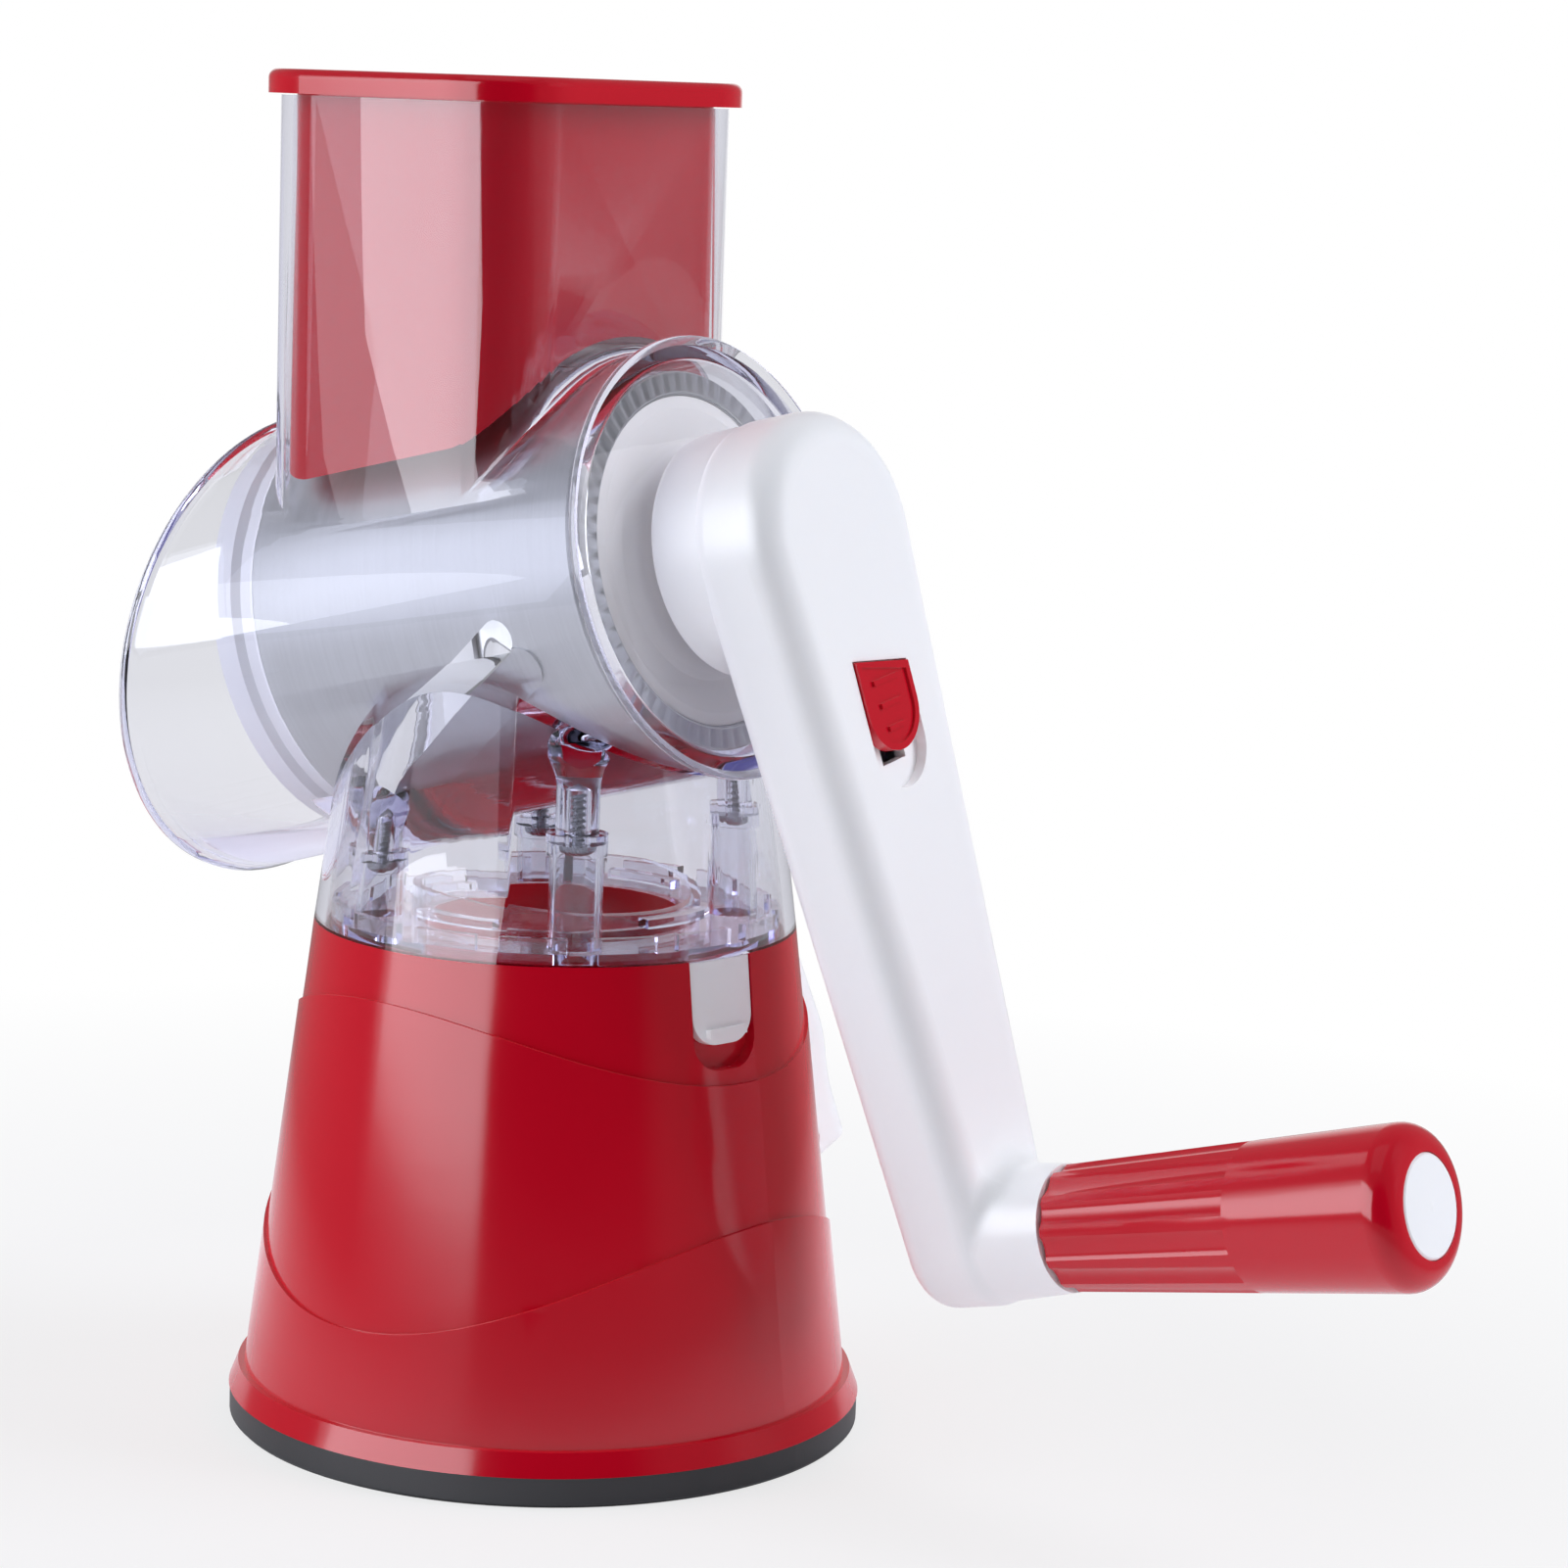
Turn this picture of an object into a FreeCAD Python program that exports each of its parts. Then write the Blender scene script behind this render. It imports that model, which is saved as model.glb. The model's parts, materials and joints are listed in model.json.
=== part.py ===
# A hand-cranked rotary vegetable shredder on a suction base, modelled in millimetres, +Z up.
# The origin is the middle of the suction pad's underside, on the table.
# +X is the crank end, which the drum's axis rises to; the hopper stands on the barrel.

import FreeCAD, Part
import math
import os
import Sketcher
from FreeCAD import Placement, Rotation, Vector

doc = FreeCAD.newDocument("vegetable_shredder")
sheet = doc.addObject("Spreadsheet::Sheet", "sizes")


class Size:
    """A number together with the sheet expression that gives it."""

    def __init__(self, value, text):
        self.value = float(value)
        self.text = text

    def __add__(self, other):
        other = as_size(other)
        return Size(self.value + other.value, f"({self.text} + {other.text})")

    def __radd__(self, other):
        return as_size(other) + self

    def __sub__(self, other):
        other = as_size(other)
        return Size(self.value - other.value, f"({self.text} - {other.text})")

    def __rsub__(self, other):
        return as_size(other) - self

    def __mul__(self, other):
        other = as_size(other)
        return Size(self.value * other.value, f"({self.text} * {other.text})")

    def __rmul__(self, other):
        return as_size(other) * self

    def __truediv__(self, other):
        other = as_size(other)
        return Size(self.value / other.value, f"({self.text} / {other.text})")

    def __neg__(self):
        return Size(-self.value, f"(0 - {self.text})")

    def __float__(self):
        return self.value


def as_size(number):
    return number if isinstance(number, Size) else Size(number, repr(float(number)))


row_count = 0


def size(alias, value, meaning):
    """Write one driving dimension in the sheet and return it as a Size."""
    global row_count
    row_count += 1
    sheet.set(f"A{row_count}", alias)
    sheet.set(f"B{row_count}", repr(float(value)))
    sheet.set(f"C{row_count}", meaning)
    sheet.setAlias(f"B{row_count}", alias)
    return Size(value, f"sizes.{alias}")


# Fits and walls
seat_gap = size("seat_gap", 0.3, "clearance between pieces that only sit near each other")
running_fit = size("running_fit", 0.05, "radial clearance of a shaft in its bearing")
key_gap = size("key_gap", 0.15, "clearance round a key in its socket")
red_wall = size("red_wall", 2.4, "wall of the red housing")
clear_wall = size("clear_wall", 2.3, "wall of the clear moulding")
crank_wall = size("crank_wall", 2.4, "wall of the crank's two shells")

# Suction foot
pad_radius = size("pad_radius", 64.0, "outer radius of the rubber rim")
pad_inner = size("pad_inner", 55.0, "inner radius of the rubber rim")
pad_height = size("pad_height", 6.0, "height of the rubber rim")
membrane_sheet = size("membrane_sheet", 2.2, "thickness of the suction disc")
membrane_lift = size("membrane_lift", 2.8, "rise of the disc's middle when locked")
membrane_rest = size("membrane_rest", 0.6, "height of the disc's edge over the table")
pad_edge = size("pad_edge", 0.8, "chamfer of the rubber rim")
foot_radius = size("foot_radius", 13.0, "radius of the stem's foot")
foot_sheet = size("foot_sheet", 2.5, "thickness of the stem's foot")
stem_radius = size("stem_radius", 5.0, "radius of the suction stem")
plate_radius = size("plate_radius", 58.0, "radius of the base plate")
plate_sheet = size("plate_sheet", 2.5, "thickness of the base plate")
guide_length = size("guide_length", 18.0, "length of the stem's guide tube")
guide_wall = size("guide_wall", 2.8, "wall of the stem's guide tube")

# Suction lever and its eccentric shaft
shaft_height = size("shaft_height", 74.0, "height of the lever's shaft")
eccentric_radius = size("eccentric_radius", 5.0, "radius of the eccentric")
eccentricity = size("eccentricity", 2.5, "offset of the eccentric")
eccentric_length = size("eccentric_length", 9.0, "length of the eccentric")
yoke_depth = size("yoke_depth", 8.0, "thickness of the stem's yoke")
yoke_rim = size("yoke_rim", 4.5, "material round the yoke's window")
window_slack = size("window_slack", 0.4, "clearance of the eccentric in the window")
journal_radius = size("journal_radius", 7.8, "radius of the shaft's outer journal")
journal_start = size("journal_start", 12.0, "where the outer journal starts")
stub_radius = size("stub_radius", 2.3, "radius of the shaft's inner stub")
stub_length = size("stub_length", 9.0, "length of the shaft's inner stub")
lever_inner = size("lever_inner", 56.5, "distance from the middle to the lever's back")
lever_width = size("lever_width", 38.0, "width of the lever")
lever_key = size("lever_key", 8.0, "side of the shaft's square end")
lever_key_length = size("lever_key_length", 9.0, "length of the shaft's square end")
lever_rise = size("lever_rise", 15.5, "height of the lever's top edge over its shaft")
lever_fall = size("lever_fall", 33.7, "how far the lever reaches below its shaft")
lever_reach = size("lever_reach", 81.4, "distance from the middle to the lever's tip")
lever_hub = size("lever_hub", 15.0, "thickness of the lever over its shaft")
lever_crown = size("lever_crown", 5.5, "thickness of the lever at its top edge")
lever_crown_fall = size("lever_crown_fall", 1.0, "fall of the lever's top edge toward its face")
face_drop = size("face_drop", 2.5, "how far under the shaft the lever's straight face ends")
knee_drop = size("knee_drop", 13.0, "how far under the shaft the lever starts to flare out")
knee_flare = size("knee_flare", 2.0, "how far the lever has come out at the knee")
tip_thickness = size("tip_thickness", 14.0, "thickness of the lever's tip")
tip_height = size("tip_height", 5.0, "height of the tip's outer face")
tip_step = size("tip_step", 8.0, "height of the tip's inner face")
hollow_drop = size("hollow_drop", 17.0, "how far under the shaft the hollow back starts")
hollow_depth = size("hollow_depth", 5.0, "how far the back draws in under the shaft")
lever_corner = size("lever_corner", 6.0, "rounding of the lever's corners")
lever_edge = size("lever_edge", 1.5, "rounding of the lever's outer edges")

# Red housing
flange_height = size("flange_height", 4.6, "height of the foot flange")
flange_taper = size("flange_taper", 1.8, "how much the flange draws in")
flange_radius = size("flange_radius", 64.2, "radius of the flange at its foot")
seam_height = size("seam_height", 102.0, "height of the seam with the clear skirt")
seam_radius = size("seam_radius", 48.4, "outer radius at the seam")
housing_slope = size("housing_slope", 0.1237, "radius gained per millimetre down")
wave_step = size("wave_step", 0.7, "step at each moulded wave")
low_wave_height = size("low_wave_height", 39.2, "mean height of the lower wave")
low_wave_swing = size("low_wave_swing", 10.3, "swing of the lower wave")
high_wave_drop = size("high_wave_drop", 17.3, "how far the upper wave lies under the seam")
high_wave_swing = size("high_wave_swing", 7.4, "swing of the upper wave")
wave_angle = size("wave_angle", -47.8, "angle at which both waves cross their mean height")
deck_depth = size("deck_depth", 3.4, "how far the closed deck lies under the seam")
deck_sheet = size("deck_sheet", 2.4, "thickness of the deck")
deck_rib_radius = size("deck_rib_radius", 26.4, "outer radius of the deck's ring rib")
deck_rib_height = size("deck_rib_height", 6.0, "height of the deck's ring rib")
column_radius = size("column_radius", 4.4, "radius of the screw columns")
column_ring = size("column_ring", 38.0, "distance of the screw columns from the middle")

# Release latch
latch_angle = size("latch_angle", -9.0, "angle of the latch round the housing")
latch_width = size("latch_width", 15.6, "width of the latch")
latch_drop = size("latch_drop", 16.6, "visible height of the latch")
latch_travel = size("latch_travel", 5.0, "travel of the latch")
latch_sheet = size("latch_sheet", 2.4, "thickness of the latch")
pocket_wall = size("pocket_wall", 2.0, "wall behind the latch's pocket")

# Barrel and drum, on an axis that rises to the crank end
axis_rise = size("axis_rise", 67.3, "height of the drum's axis over the seam")
axis_tilt = size("axis_tilt", 13.6, "tilt of the drum's axis")
drum_front = size("drum_front", 34.5, "crank end of the steel shell")
drum_back = size("drum_back", -45.0, "open end of the steel shell")
drum_small = size("drum_small", 38.0, "radius of the steel shell at the crank end")
drum_large = size("drum_large", 40.9, "radius of the steel shell at the open end")
drum_sheet = size("drum_sheet", 0.8, "thickness of the steel shell")
disc_radius = size("disc_radius", 33.0, "radius of the white end disc")
disc_sheet = size("disc_sheet", 2.4, "thickness of the white end disc")
ring_radius = size("ring_radius", 41.6, "outer radius of the white open ring")
ring_inner = size("ring_inner", 37.4, "inner radius of the white open ring")
ring_length = size("ring_length", 10.9, "length of the ring beyond the steel")
sleeve_length = size("sleeve_length", 7.0, "length of the ring inside the steel")
barrel_gap = size("barrel_gap", 1.2, "gap between the drum and the barrel")
barrel_mouth = size("barrel_mouth", -52.0, "where the barrel opens into the hood")
end_wall_face = size("end_wall_face", 40.0, "front face of the barrel's end wall")
end_wall_sheet = size("end_wall_sheet", 2.0, "thickness of the barrel's end wall")
lip_radius = size("lip_radius", 43.4, "radius of the lip round the end wall")
lip_sheet = size("lip_sheet", 1.8, "thickness of the lip round the end wall")
post_radius = size("post_radius", 7.9, "radius of the drum's drive post")
post_key = size("post_key", 11.0, "side of the post's square end")
post_end = size("post_end", 58.0, "end of the drive post")
groove_start = size("groove_start", 53.2, "start of the lock groove in the post")
groove_width = size("groove_width", 2.4, "width of the lock groove")
groove_radius = size("groove_radius", 4.2, "radius left inside the lock groove")
hub_radius = size("hub_radius", 13.0, "radius of the end disc's inner hub")
hub_length = size("hub_length", 18.0, "length of the end disc's inner hub")

# Blade slots in the drum
slot_count = size("slot_count", 3, "number of slicing slots")
slot_width = size("slot_width", 7.0, "width of a slicing slot")
slot_front = size("slot_front", 14.0, "crank end of a slot's centre line")
slot_back = size("slot_back", -33.0, "open end of a slot's centre line")
slot_angle = size("slot_angle", -76.0, "angle of the slot's crank end, from below toward +Y")
slot_twist = size("slot_twist", 34.0, "turn of the slot along the drum")
land_width = size("land_width", 9.0, "width of the pressed-up land behind a slot")
land_rise = size("land_rise", 0.7, "how far a land stands out of the shell")

# Discharge hood
hood_x = size("hood_x", -74.3, "middle of the hood's rim along X")
hood_drop = size("hood_drop", 18.9, "how far the middle of the hood's rim lies under the drum's axis")
hood_radius = size("hood_radius", 49.2, "outer radius of the hood's rim")
hood_lean = size("hood_lean", 7.8, "lean of the hood's rim, lower lip outward")
rim_bead = size("rim_bead", 1.0, "how far the rim's bead stands out")
rim_width = size("rim_width", 2.2, "width of the rim's bead")

# Hopper and pusher
hopper_x = size("hopper_x", -17.5, "middle of the hopper along X")
hopper_length = size("hopper_length", 67.0, "outer length of the hopper along X")
hopper_width = size("hopper_width", 78.0, "outer width of the hopper along Y")
hopper_corner = size("hopper_corner", 16.0, "outer corner radius of the hopper")
hopper_rise = size("hopper_rise", 94.7, "height of the hopper's top edge over the drum's axis")
hopper_root = size("hopper_root", 2.7, "height over the drum's axis where the hopper's walls start inside the barrel")
pusher_gap = size("pusher_gap", 0.8, "gap between the pusher and the hopper")
pusher_wall = size("pusher_wall", 2.0, "wall of the pusher")
pusher_radius = size("pusher_radius", 45.5, "radius of the pusher's hollow underside")
cap_height = size("cap_height", 4.7, "height of the pusher's cap")
cap_overhang = size("cap_overhang", 2.5, "overhang of the cap round the hopper")
cap_round = size("cap_round", 1.8, "rounding of the cap's edges")

# Clear skirt, its screw bosses and the bayonet ring
skirt_slope = size("skirt_slope", 0.136, "radius lost per millimetre up")
skirt_sink = size("skirt_sink", 11.3, "how far under the drum's axis the skirt runs out in the barrel")
boss_place = size("boss_place", 25.3, "distance of the bosses from the middle along X and Y")
boss_radius = size("boss_radius", 4.2, "radius of the clear screw bosses")
high_head_rise = size("high_head_rise", 19.5, "height of the crank-side screw heads over the seam")
low_head_rise = size("low_head_rise", 10.6, "height of the hood-side screw heads over the seam")
tower_radius = size("tower_radius", 5.2, "radius of the bayonet ring's towers")
collar_radius = size("collar_radius", 5.9, "radius of the collar round a tower's top")
collar_height = size("collar_height", 4.2, "height of the collar round a tower's top")
tower_bore = size("tower_bore", 4.1, "bore of the towers under the screw heads")
tower_web = size("tower_web", 2.0, "web over the screw heads")
head_radius = size("head_radius", 3.5, "radius of the screw heads")
head_height = size("head_height", 2.4, "height of the screw heads")
head_round = size("head_round", 1.1, "rounding of the screw heads")
screw_radius = size("screw_radius", 1.6, "radius of the screw shanks")
screw_length = size("screw_length", 10.0, "length of the screw shanks in the bosses")
ring_drop = size("ring_drop", 0.8, "how far the bayonet ring's underside lies under the seam")
ring_plate_sheet = size("ring_plate_sheet", 2.4, "thickness of the bayonet ring")
ring_plate_inner = size("ring_plate_inner", 27.0, "inner radius of the bayonet ring")
ring_collar_height = size("ring_collar_height", 9.4, "height of the ring's inner collar over its underside")
ring_collar_sheet = size("ring_collar_sheet", 2.0, "wall of the ring's inner collar")
cam_fall = size("cam_fall", 3.0, "how far the collar's cam slopes fall")
lug_reach = size("lug_reach", 3.4, "how far the bayonet lugs stand out of the collar")
lug_sheet = size("lug_sheet", 1.8, "thickness of the bayonet lugs")
lug_count = size("lug_count", 4, "number of bayonet lugs")
LUG_SPAN = 35
lug_lift = size("lug_lift", 4.4, "height of the bayonet lugs over the ring's underside")
ring_wall_height = size("ring_wall_height", 5.6, "height of the ring's notched outer wall")
ring_wall_sheet = size("ring_wall_sheet", 1.6, "thickness of the ring's outer wall")
notch_count = size("notch_count", 16, "number of notches in the outer wall")
notch_width = size("notch_width", 4.6, "width of a notch in the outer wall")

# Crank
arm_angle = size("arm_angle", 8.8, "turn of the arm from straight down toward +Y")
throw = size("throw", 139.5, "distance from the drum's axis to the grip's axis")
hub_gap = size("hub_gap", 1.4, "gap between the end wall and the crank's hub")
crank_boss = size("crank_boss", 23.8, "radius of the crank's hub")
arm_head = size("arm_head", 24.3, "radius of the arm at the hub")
arm_foot = size("arm_foot", 14.2, "radius of the arm at the grip")
arm_back = size("arm_back", 50.5, "back face of the arm")
arm_parting = size("arm_parting", 56.5, "parting line of the arm's two shells")
arm_face = size("arm_face", 70.5, "front face of the arm")
arm_round = size("arm_round", 6.5, "rounding of the arm's front edge")
arm_back_round = size("arm_back_round", 4.5, "rounding of the arm's back edge")
hub_rim_round = size("hub_rim_round", 1.5, "rounding of the hub's back rim")
foot_blend = size("foot_blend", 5.0, "hollow blend from the arm's face to the grip's boss")
socket_wall = size("socket_wall", 3.0, "wall round the square socket")
grip_boss_end = size("grip_boss_end", 82.0, "end of the boss that carries the grip")
grip_boss_radius = size("grip_boss_radius", 12.4, "radius of the boss that carries the grip")

# Lock slider
slider_top = size("slider_top", 25.1, "distance of the slider's top edge from the drum's axis")
slider_slant = size("slider_slant", 3.4, "how much the slider's top edge slants across its width")
slider_length = size("slider_length", 17.3, "length of the slider")
slider_width = size("slider_width", 16.6, "width of the slider")
slider_border = size("slider_border", 1.3, "width of the slider's raised border")
border_height = size("border_height", 0.5, "height of the border and of the grip marks")
mark_pitch = size("mark_pitch", 4.6, "spacing of the slider's grip marks")
mark_width = size("mark_width", 1.0, "width of a grip mark")
mark_reach = size("mark_reach", 4.2, "half the length of the slider's first grip mark")
mark_shortening = size("mark_shortening", 0.75, "how much shorter each next grip mark is on each side")
mark_count = size("mark_count", 3, "number of grip marks on the slider")
slider_travel = size("slider_travel", 7.0, "travel of the slider")
slider_sheet = size("slider_sheet", 2.6, "thickness of the slider")
slider_proud = size("slider_proud", 0.6, "how far the slider stands proud of the arm")
tongue_width = size("tongue_width", 7.0, "width of the slider's tongue")
tongue_sheet = size("tongue_sheet", 1.8, "thickness of the slider's tongue")

# Grip
grip_start = size("grip_start", 82.6, "arm end of the grip")
grip_end = size("grip_end", 160.0, "free end of the grip")
grip_small = size("grip_small", 12.2, "radius of the grip at the arm end")
grip_large = size("grip_large", 15.6, "radius of the grip near its free end")
grip_round = size("grip_round", 5.4, "rounding of the grip's free end")
flute_count = size("flute_count", 12, "number of flutes")
flute_length = size("flute_length", 42.0, "length of the flutes")
flute_radius = size("flute_radius", 5.5, "radius of a flute")
flute_depth = size("flute_depth", 0.8, "depth of a flute")
spindle_radius = size("spindle_radius", 4.0, "radius of the steel spindle")
spindle_head = size("spindle_head", 7.4, "radius of the spindle's head")
spindle_head_height = size("spindle_head_height", 3.0, "height of the spindle's head")
spindle_seat = size("spindle_seat", 16.0, "length of the spindle inside the arm")
cap_radius = size("cap_radius", 9.8, "radius of the grip's white end cap")
cap_sheet = size("cap_sheet", 3.0, "thickness of the grip's white end cap")

doc.recompute()

# Heights that follow from the seam and the drum's axis
deck_top = seam_height - deck_depth
high_wave_height = seam_height - high_wave_drop
ring_plate_z = seam_height - ring_drop
high_head = seam_height + high_head_rise
low_head = seam_height + low_head_rise
axis_height = seam_height + axis_rise
hood_z = axis_height - hood_drop
lever_top = shaft_height + lever_rise
lever_bottom = shaft_height - lever_fall
hopper_top = axis_height + hopper_rise
hopper_start = axis_height + hopper_root
skirt_top = axis_height - skirt_sink

# Frames: along the drum's axis, and the same turned to the arm
axis_frame = Placement(Vector(0, 0, axis_height.value), Rotation(Vector(0, 1, 0), 90 - axis_tilt.value))
crank_frame = axis_frame * Placement(Vector(), Rotation(Vector(0, 0, 1), arm_angle.value))
grip_frame = crank_frame * Placement(Vector(throw.value, 0, 0), Rotation())

sub_parts = []


def finish(shape_object, label, placement=None):
    """Give a sub-part its name and its place."""
    shape_object.Label = label
    if placement is not None:
        shape_object.Placement = placement
    sub_parts.append(shape_object)
    return shape_object


def new_body(label):
    body = doc.addObject("PartDesign::Body", label + "_body")
    return body


def plane_of(body, role):
    return next(item for item in body.Origin.OriginFeatures if item.Role == role)


def new_sketch(body, role, offset=None):
    """A sketch on one of the body's own planes; XY has its height as an offset."""
    sketch = body.newObject("Sketcher::SketchObject", body.Name + "_sketch")
    sketch.AttachmentSupport = [(plane_of(body, role), "")]
    sketch.MapMode = "FlatFace"
    if offset is not None:
        sketch.setExpression("AttachmentOffset.Base.z", as_size(offset).text)
    return sketch


def pin_point(sketch, geometry, end, x, y):
    """Hold a point of the sketch at x, y, each bound to the sheet."""
    for kind, coordinate, axis in (("DistanceX", as_size(x), -2), ("DistanceY", as_size(y), -1)):
        if abs(coordinate.value) < 1e-9:
            sketch.addConstraint(Sketcher.Constraint("PointOnObject", geometry, end, axis))
        else:
            index = sketch.addConstraint(Sketcher.Constraint(kind, geometry, end, coordinate.value))
            sketch.setExpression(f"Constraints[{index}]", coordinate.text)


def draw_outline(sketch, points):
    """A closed outline of straight runs through the given corners."""
    corners = [Vector(float(x), float(y), 0) for x, y in points]
    first = sketch.GeometryCount
    count = len(corners)
    for i in range(count):
        sketch.addGeometry(Part.LineSegment(corners[i], corners[(i + 1) % count]), False)
    for i in range(count):
        following = first + (i + 1) % count
        sketch.addConstraint(Sketcher.Constraint("Coincident", first + i, 2, following, 1))
    for i, (x, y) in enumerate(points):
        pin_point(sketch, first + i, 1, x, y)


def draw_circle(sketch, radius, x=0, y=0):
    centre = Vector(float(x), float(y), 0)
    index = sketch.addGeometry(Part.Circle(centre, Vector(0, 0, 1), float(radius)), False)
    constraint = sketch.addConstraint(Sketcher.Constraint("Radius", index, float(radius)))
    sketch.setExpression(f"Constraints[{constraint}]", as_size(radius).text)
    pin_point(sketch, index, 3, x, y)


def draw_box(sketch, x0, y0, x1, y1):
    draw_outline(sketch, [(x0, y0), (x1, y0), (x1, y1), (x0, y1)])


def draw_strap(sketch, radius_a, radius_b, length):
    """Two round ends joined by their common tangents, the first end at the origin."""
    ra, rb, reach = float(radius_a), float(radius_b), float(length)
    lean = math.acos((ra - rb) / reach)
    up = Vector(math.cos(lean), math.sin(lean), 0)
    down = Vector(math.cos(lean), -math.sin(lean), 0)
    far = Vector(reach, 0, 0)
    turn = 2 * math.pi
    near_arc = Part.ArcOfCircle(Part.Circle(Vector(), Vector(0, 0, 1), ra), lean, turn - lean)
    far_arc = Part.ArcOfCircle(Part.Circle(far, Vector(0, 0, 1), rb), turn - lean, turn + lean)
    first = sketch.GeometryCount
    sketch.addGeometry(near_arc, False)
    sketch.addGeometry(Part.LineSegment(down * ra, far + down * rb), False)
    sketch.addGeometry(far_arc, False)
    sketch.addGeometry(Part.LineSegment(far + up * rb, up * ra), False)
    for i in range(4):
        following = first + (i + 1) % 4
        sketch.addConstraint(Sketcher.Constraint("Tangent", first + i, 2, following, 1))
    pin_point(sketch, first, 3, 0, 0)
    pin_point(sketch, first + 2, 3, length, 0)
    for index, radius in ((first, radius_a), (first + 2, radius_b)):
        constraint = sketch.addConstraint(Sketcher.Constraint("Radius", index, float(radius)))
        sketch.setExpression(f"Constraints[{constraint}]", as_size(radius).text)


def draw_tongue(sketch, near_low, near_high, far, half):
    """A strip with a slanted straight end and a half-round far end, mirrored about the X axis."""
    r, x_arc = float(half), float(far) - float(half)
    low, high = Vector(float(near_low), -r, 0), Vector(float(near_high), r, 0)
    first = sketch.GeometryCount
    sketch.addGeometry(Part.LineSegment(high, low), False)
    sketch.addGeometry(Part.LineSegment(low, Vector(x_arc, -r, 0)), False)
    circle = Part.Circle(Vector(x_arc, 0, 0), Vector(0, 0, 1), r)
    sketch.addGeometry(Part.ArcOfCircle(circle, -math.pi / 2, math.pi / 2), False)
    sketch.addGeometry(Part.LineSegment(Vector(x_arc, r, 0), high), False)
    sketch.addConstraint(Sketcher.Constraint("Coincident", first, 2, first + 1, 1))
    sketch.addConstraint(Sketcher.Constraint("Tangent", first + 1, 2, first + 2, 1))
    sketch.addConstraint(Sketcher.Constraint("Tangent", first + 2, 2, first + 3, 1))
    sketch.addConstraint(Sketcher.Constraint("Coincident", first + 3, 2, first, 1))
    pin_point(sketch, first, 1, near_high, half)
    pin_point(sketch, first, 2, near_low, -half)
    pin_point(sketch, first + 2, 3, far - half, 0)
    constraint = sketch.addConstraint(Sketcher.Constraint("Radius", first + 2, r))
    sketch.setExpression(f"Constraints[{constraint}]", half.text)


def pad(body, sketch, length, both_ways=False, end_growth=None):
    """Raise a sketch; end_growth is how much wider each side is at the far end."""
    feature = body.newObject("PartDesign::Pad", body.Name + "_pad")
    feature.Profile = sketch
    feature.setExpression("Length", as_size(length).text)
    if both_ways:
        feature.Midplane = True
    if end_growth is not None:
        feature.setExpression("TaperAngle", f"atan({(end_growth / length).text})")
    doc.recompute()
    return feature


def pocket(body, sketch, length, upward=True, both_ways=False):
    """Cut along the sketch's normal when upward, else against it."""
    before = body.Shape.Volume
    feature = body.newObject("PartDesign::Pocket", body.Name + "_pocket")
    feature.Profile = sketch
    feature.setExpression("Length", as_size(length).text)
    feature.Reversed = upward
    if both_ways:
        feature.Midplane = True
    doc.recompute()
    if body.Shape.Volume > before - 1e-6:
        raise RuntimeError(f"{feature.Name} cuts nothing")
    return feature


def revolve(body, sketch, cut=False, angle=360):
    """Turn a half section about the sketch's upright axis, evenly to both sides of its plane."""
    kind = "PartDesign::Groove" if cut else "PartDesign::Revolution"
    feature = body.newObject(kind, body.Name + "_turned")
    feature.Profile = sketch
    feature.ReferenceAxis = (sketch, ["V_Axis"])
    feature.Angle = angle
    feature.Midplane = angle < 360
    doc.recompute()
    return feature


def turned(label, points, placement=None):
    """A sub-part turned about its own Z axis from a half section of radius and height."""
    body = new_body(label)
    sketch = new_sketch(body, "XZ_Plane")
    draw_outline(sketch, points)
    revolve(body, sketch)
    return finish(body, label, placement)


def edges_near(shape, test):
    """Names of the edges whose middle point passes the test."""
    names = []
    for i, edge in enumerate(shape.Edges, 1):
        middle = edge.valueAt((edge.FirstParameter + edge.LastParameter) / 2)
        if test(middle, edge):
            names.append(f"Edge{i}")
    return names


def round_edges(body, radius, test):
    base = body.Tip
    feature = body.newObject("PartDesign::Fillet", body.Name + "_round")
    feature.Base = (base, edges_near(base.Shape, test))
    feature.setExpression("Radius", as_size(radius).text)
    doc.recompute()
    return feature


def shape_part(label, shape, placement=None):
    """A sub-part whose form is made by shape functions."""
    item = doc.addObject("Part::Feature", label + "_shape")
    item.Shape = shape
    return finish(item, label, placement)


def cone(r_low, r_high, z_low, z_high):
    """A solid cone about Z between two heights."""
    low, high = float(z_low), float(z_high)
    return Part.makeCone(float(r_low), float(r_high), high - low, Vector(0, 0, low))


def rod(radius, z_low, z_high, x=0, y=0):
    low, high = float(z_low), float(z_high)
    return Part.makeCylinder(float(radius), high - low, Vector(float(x), float(y), low))


def block(x0, y0, z0, x1, y1, z1):
    low = Vector(float(x0), float(y0), float(z0))
    return Part.makeBox(float(x1) - low.x, float(y1) - low.y, float(z1) - low.z, low)


def placed(shape, placement):
    copy = shape.copy()
    copy.Placement = placement * copy.Placement
    return copy


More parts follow.
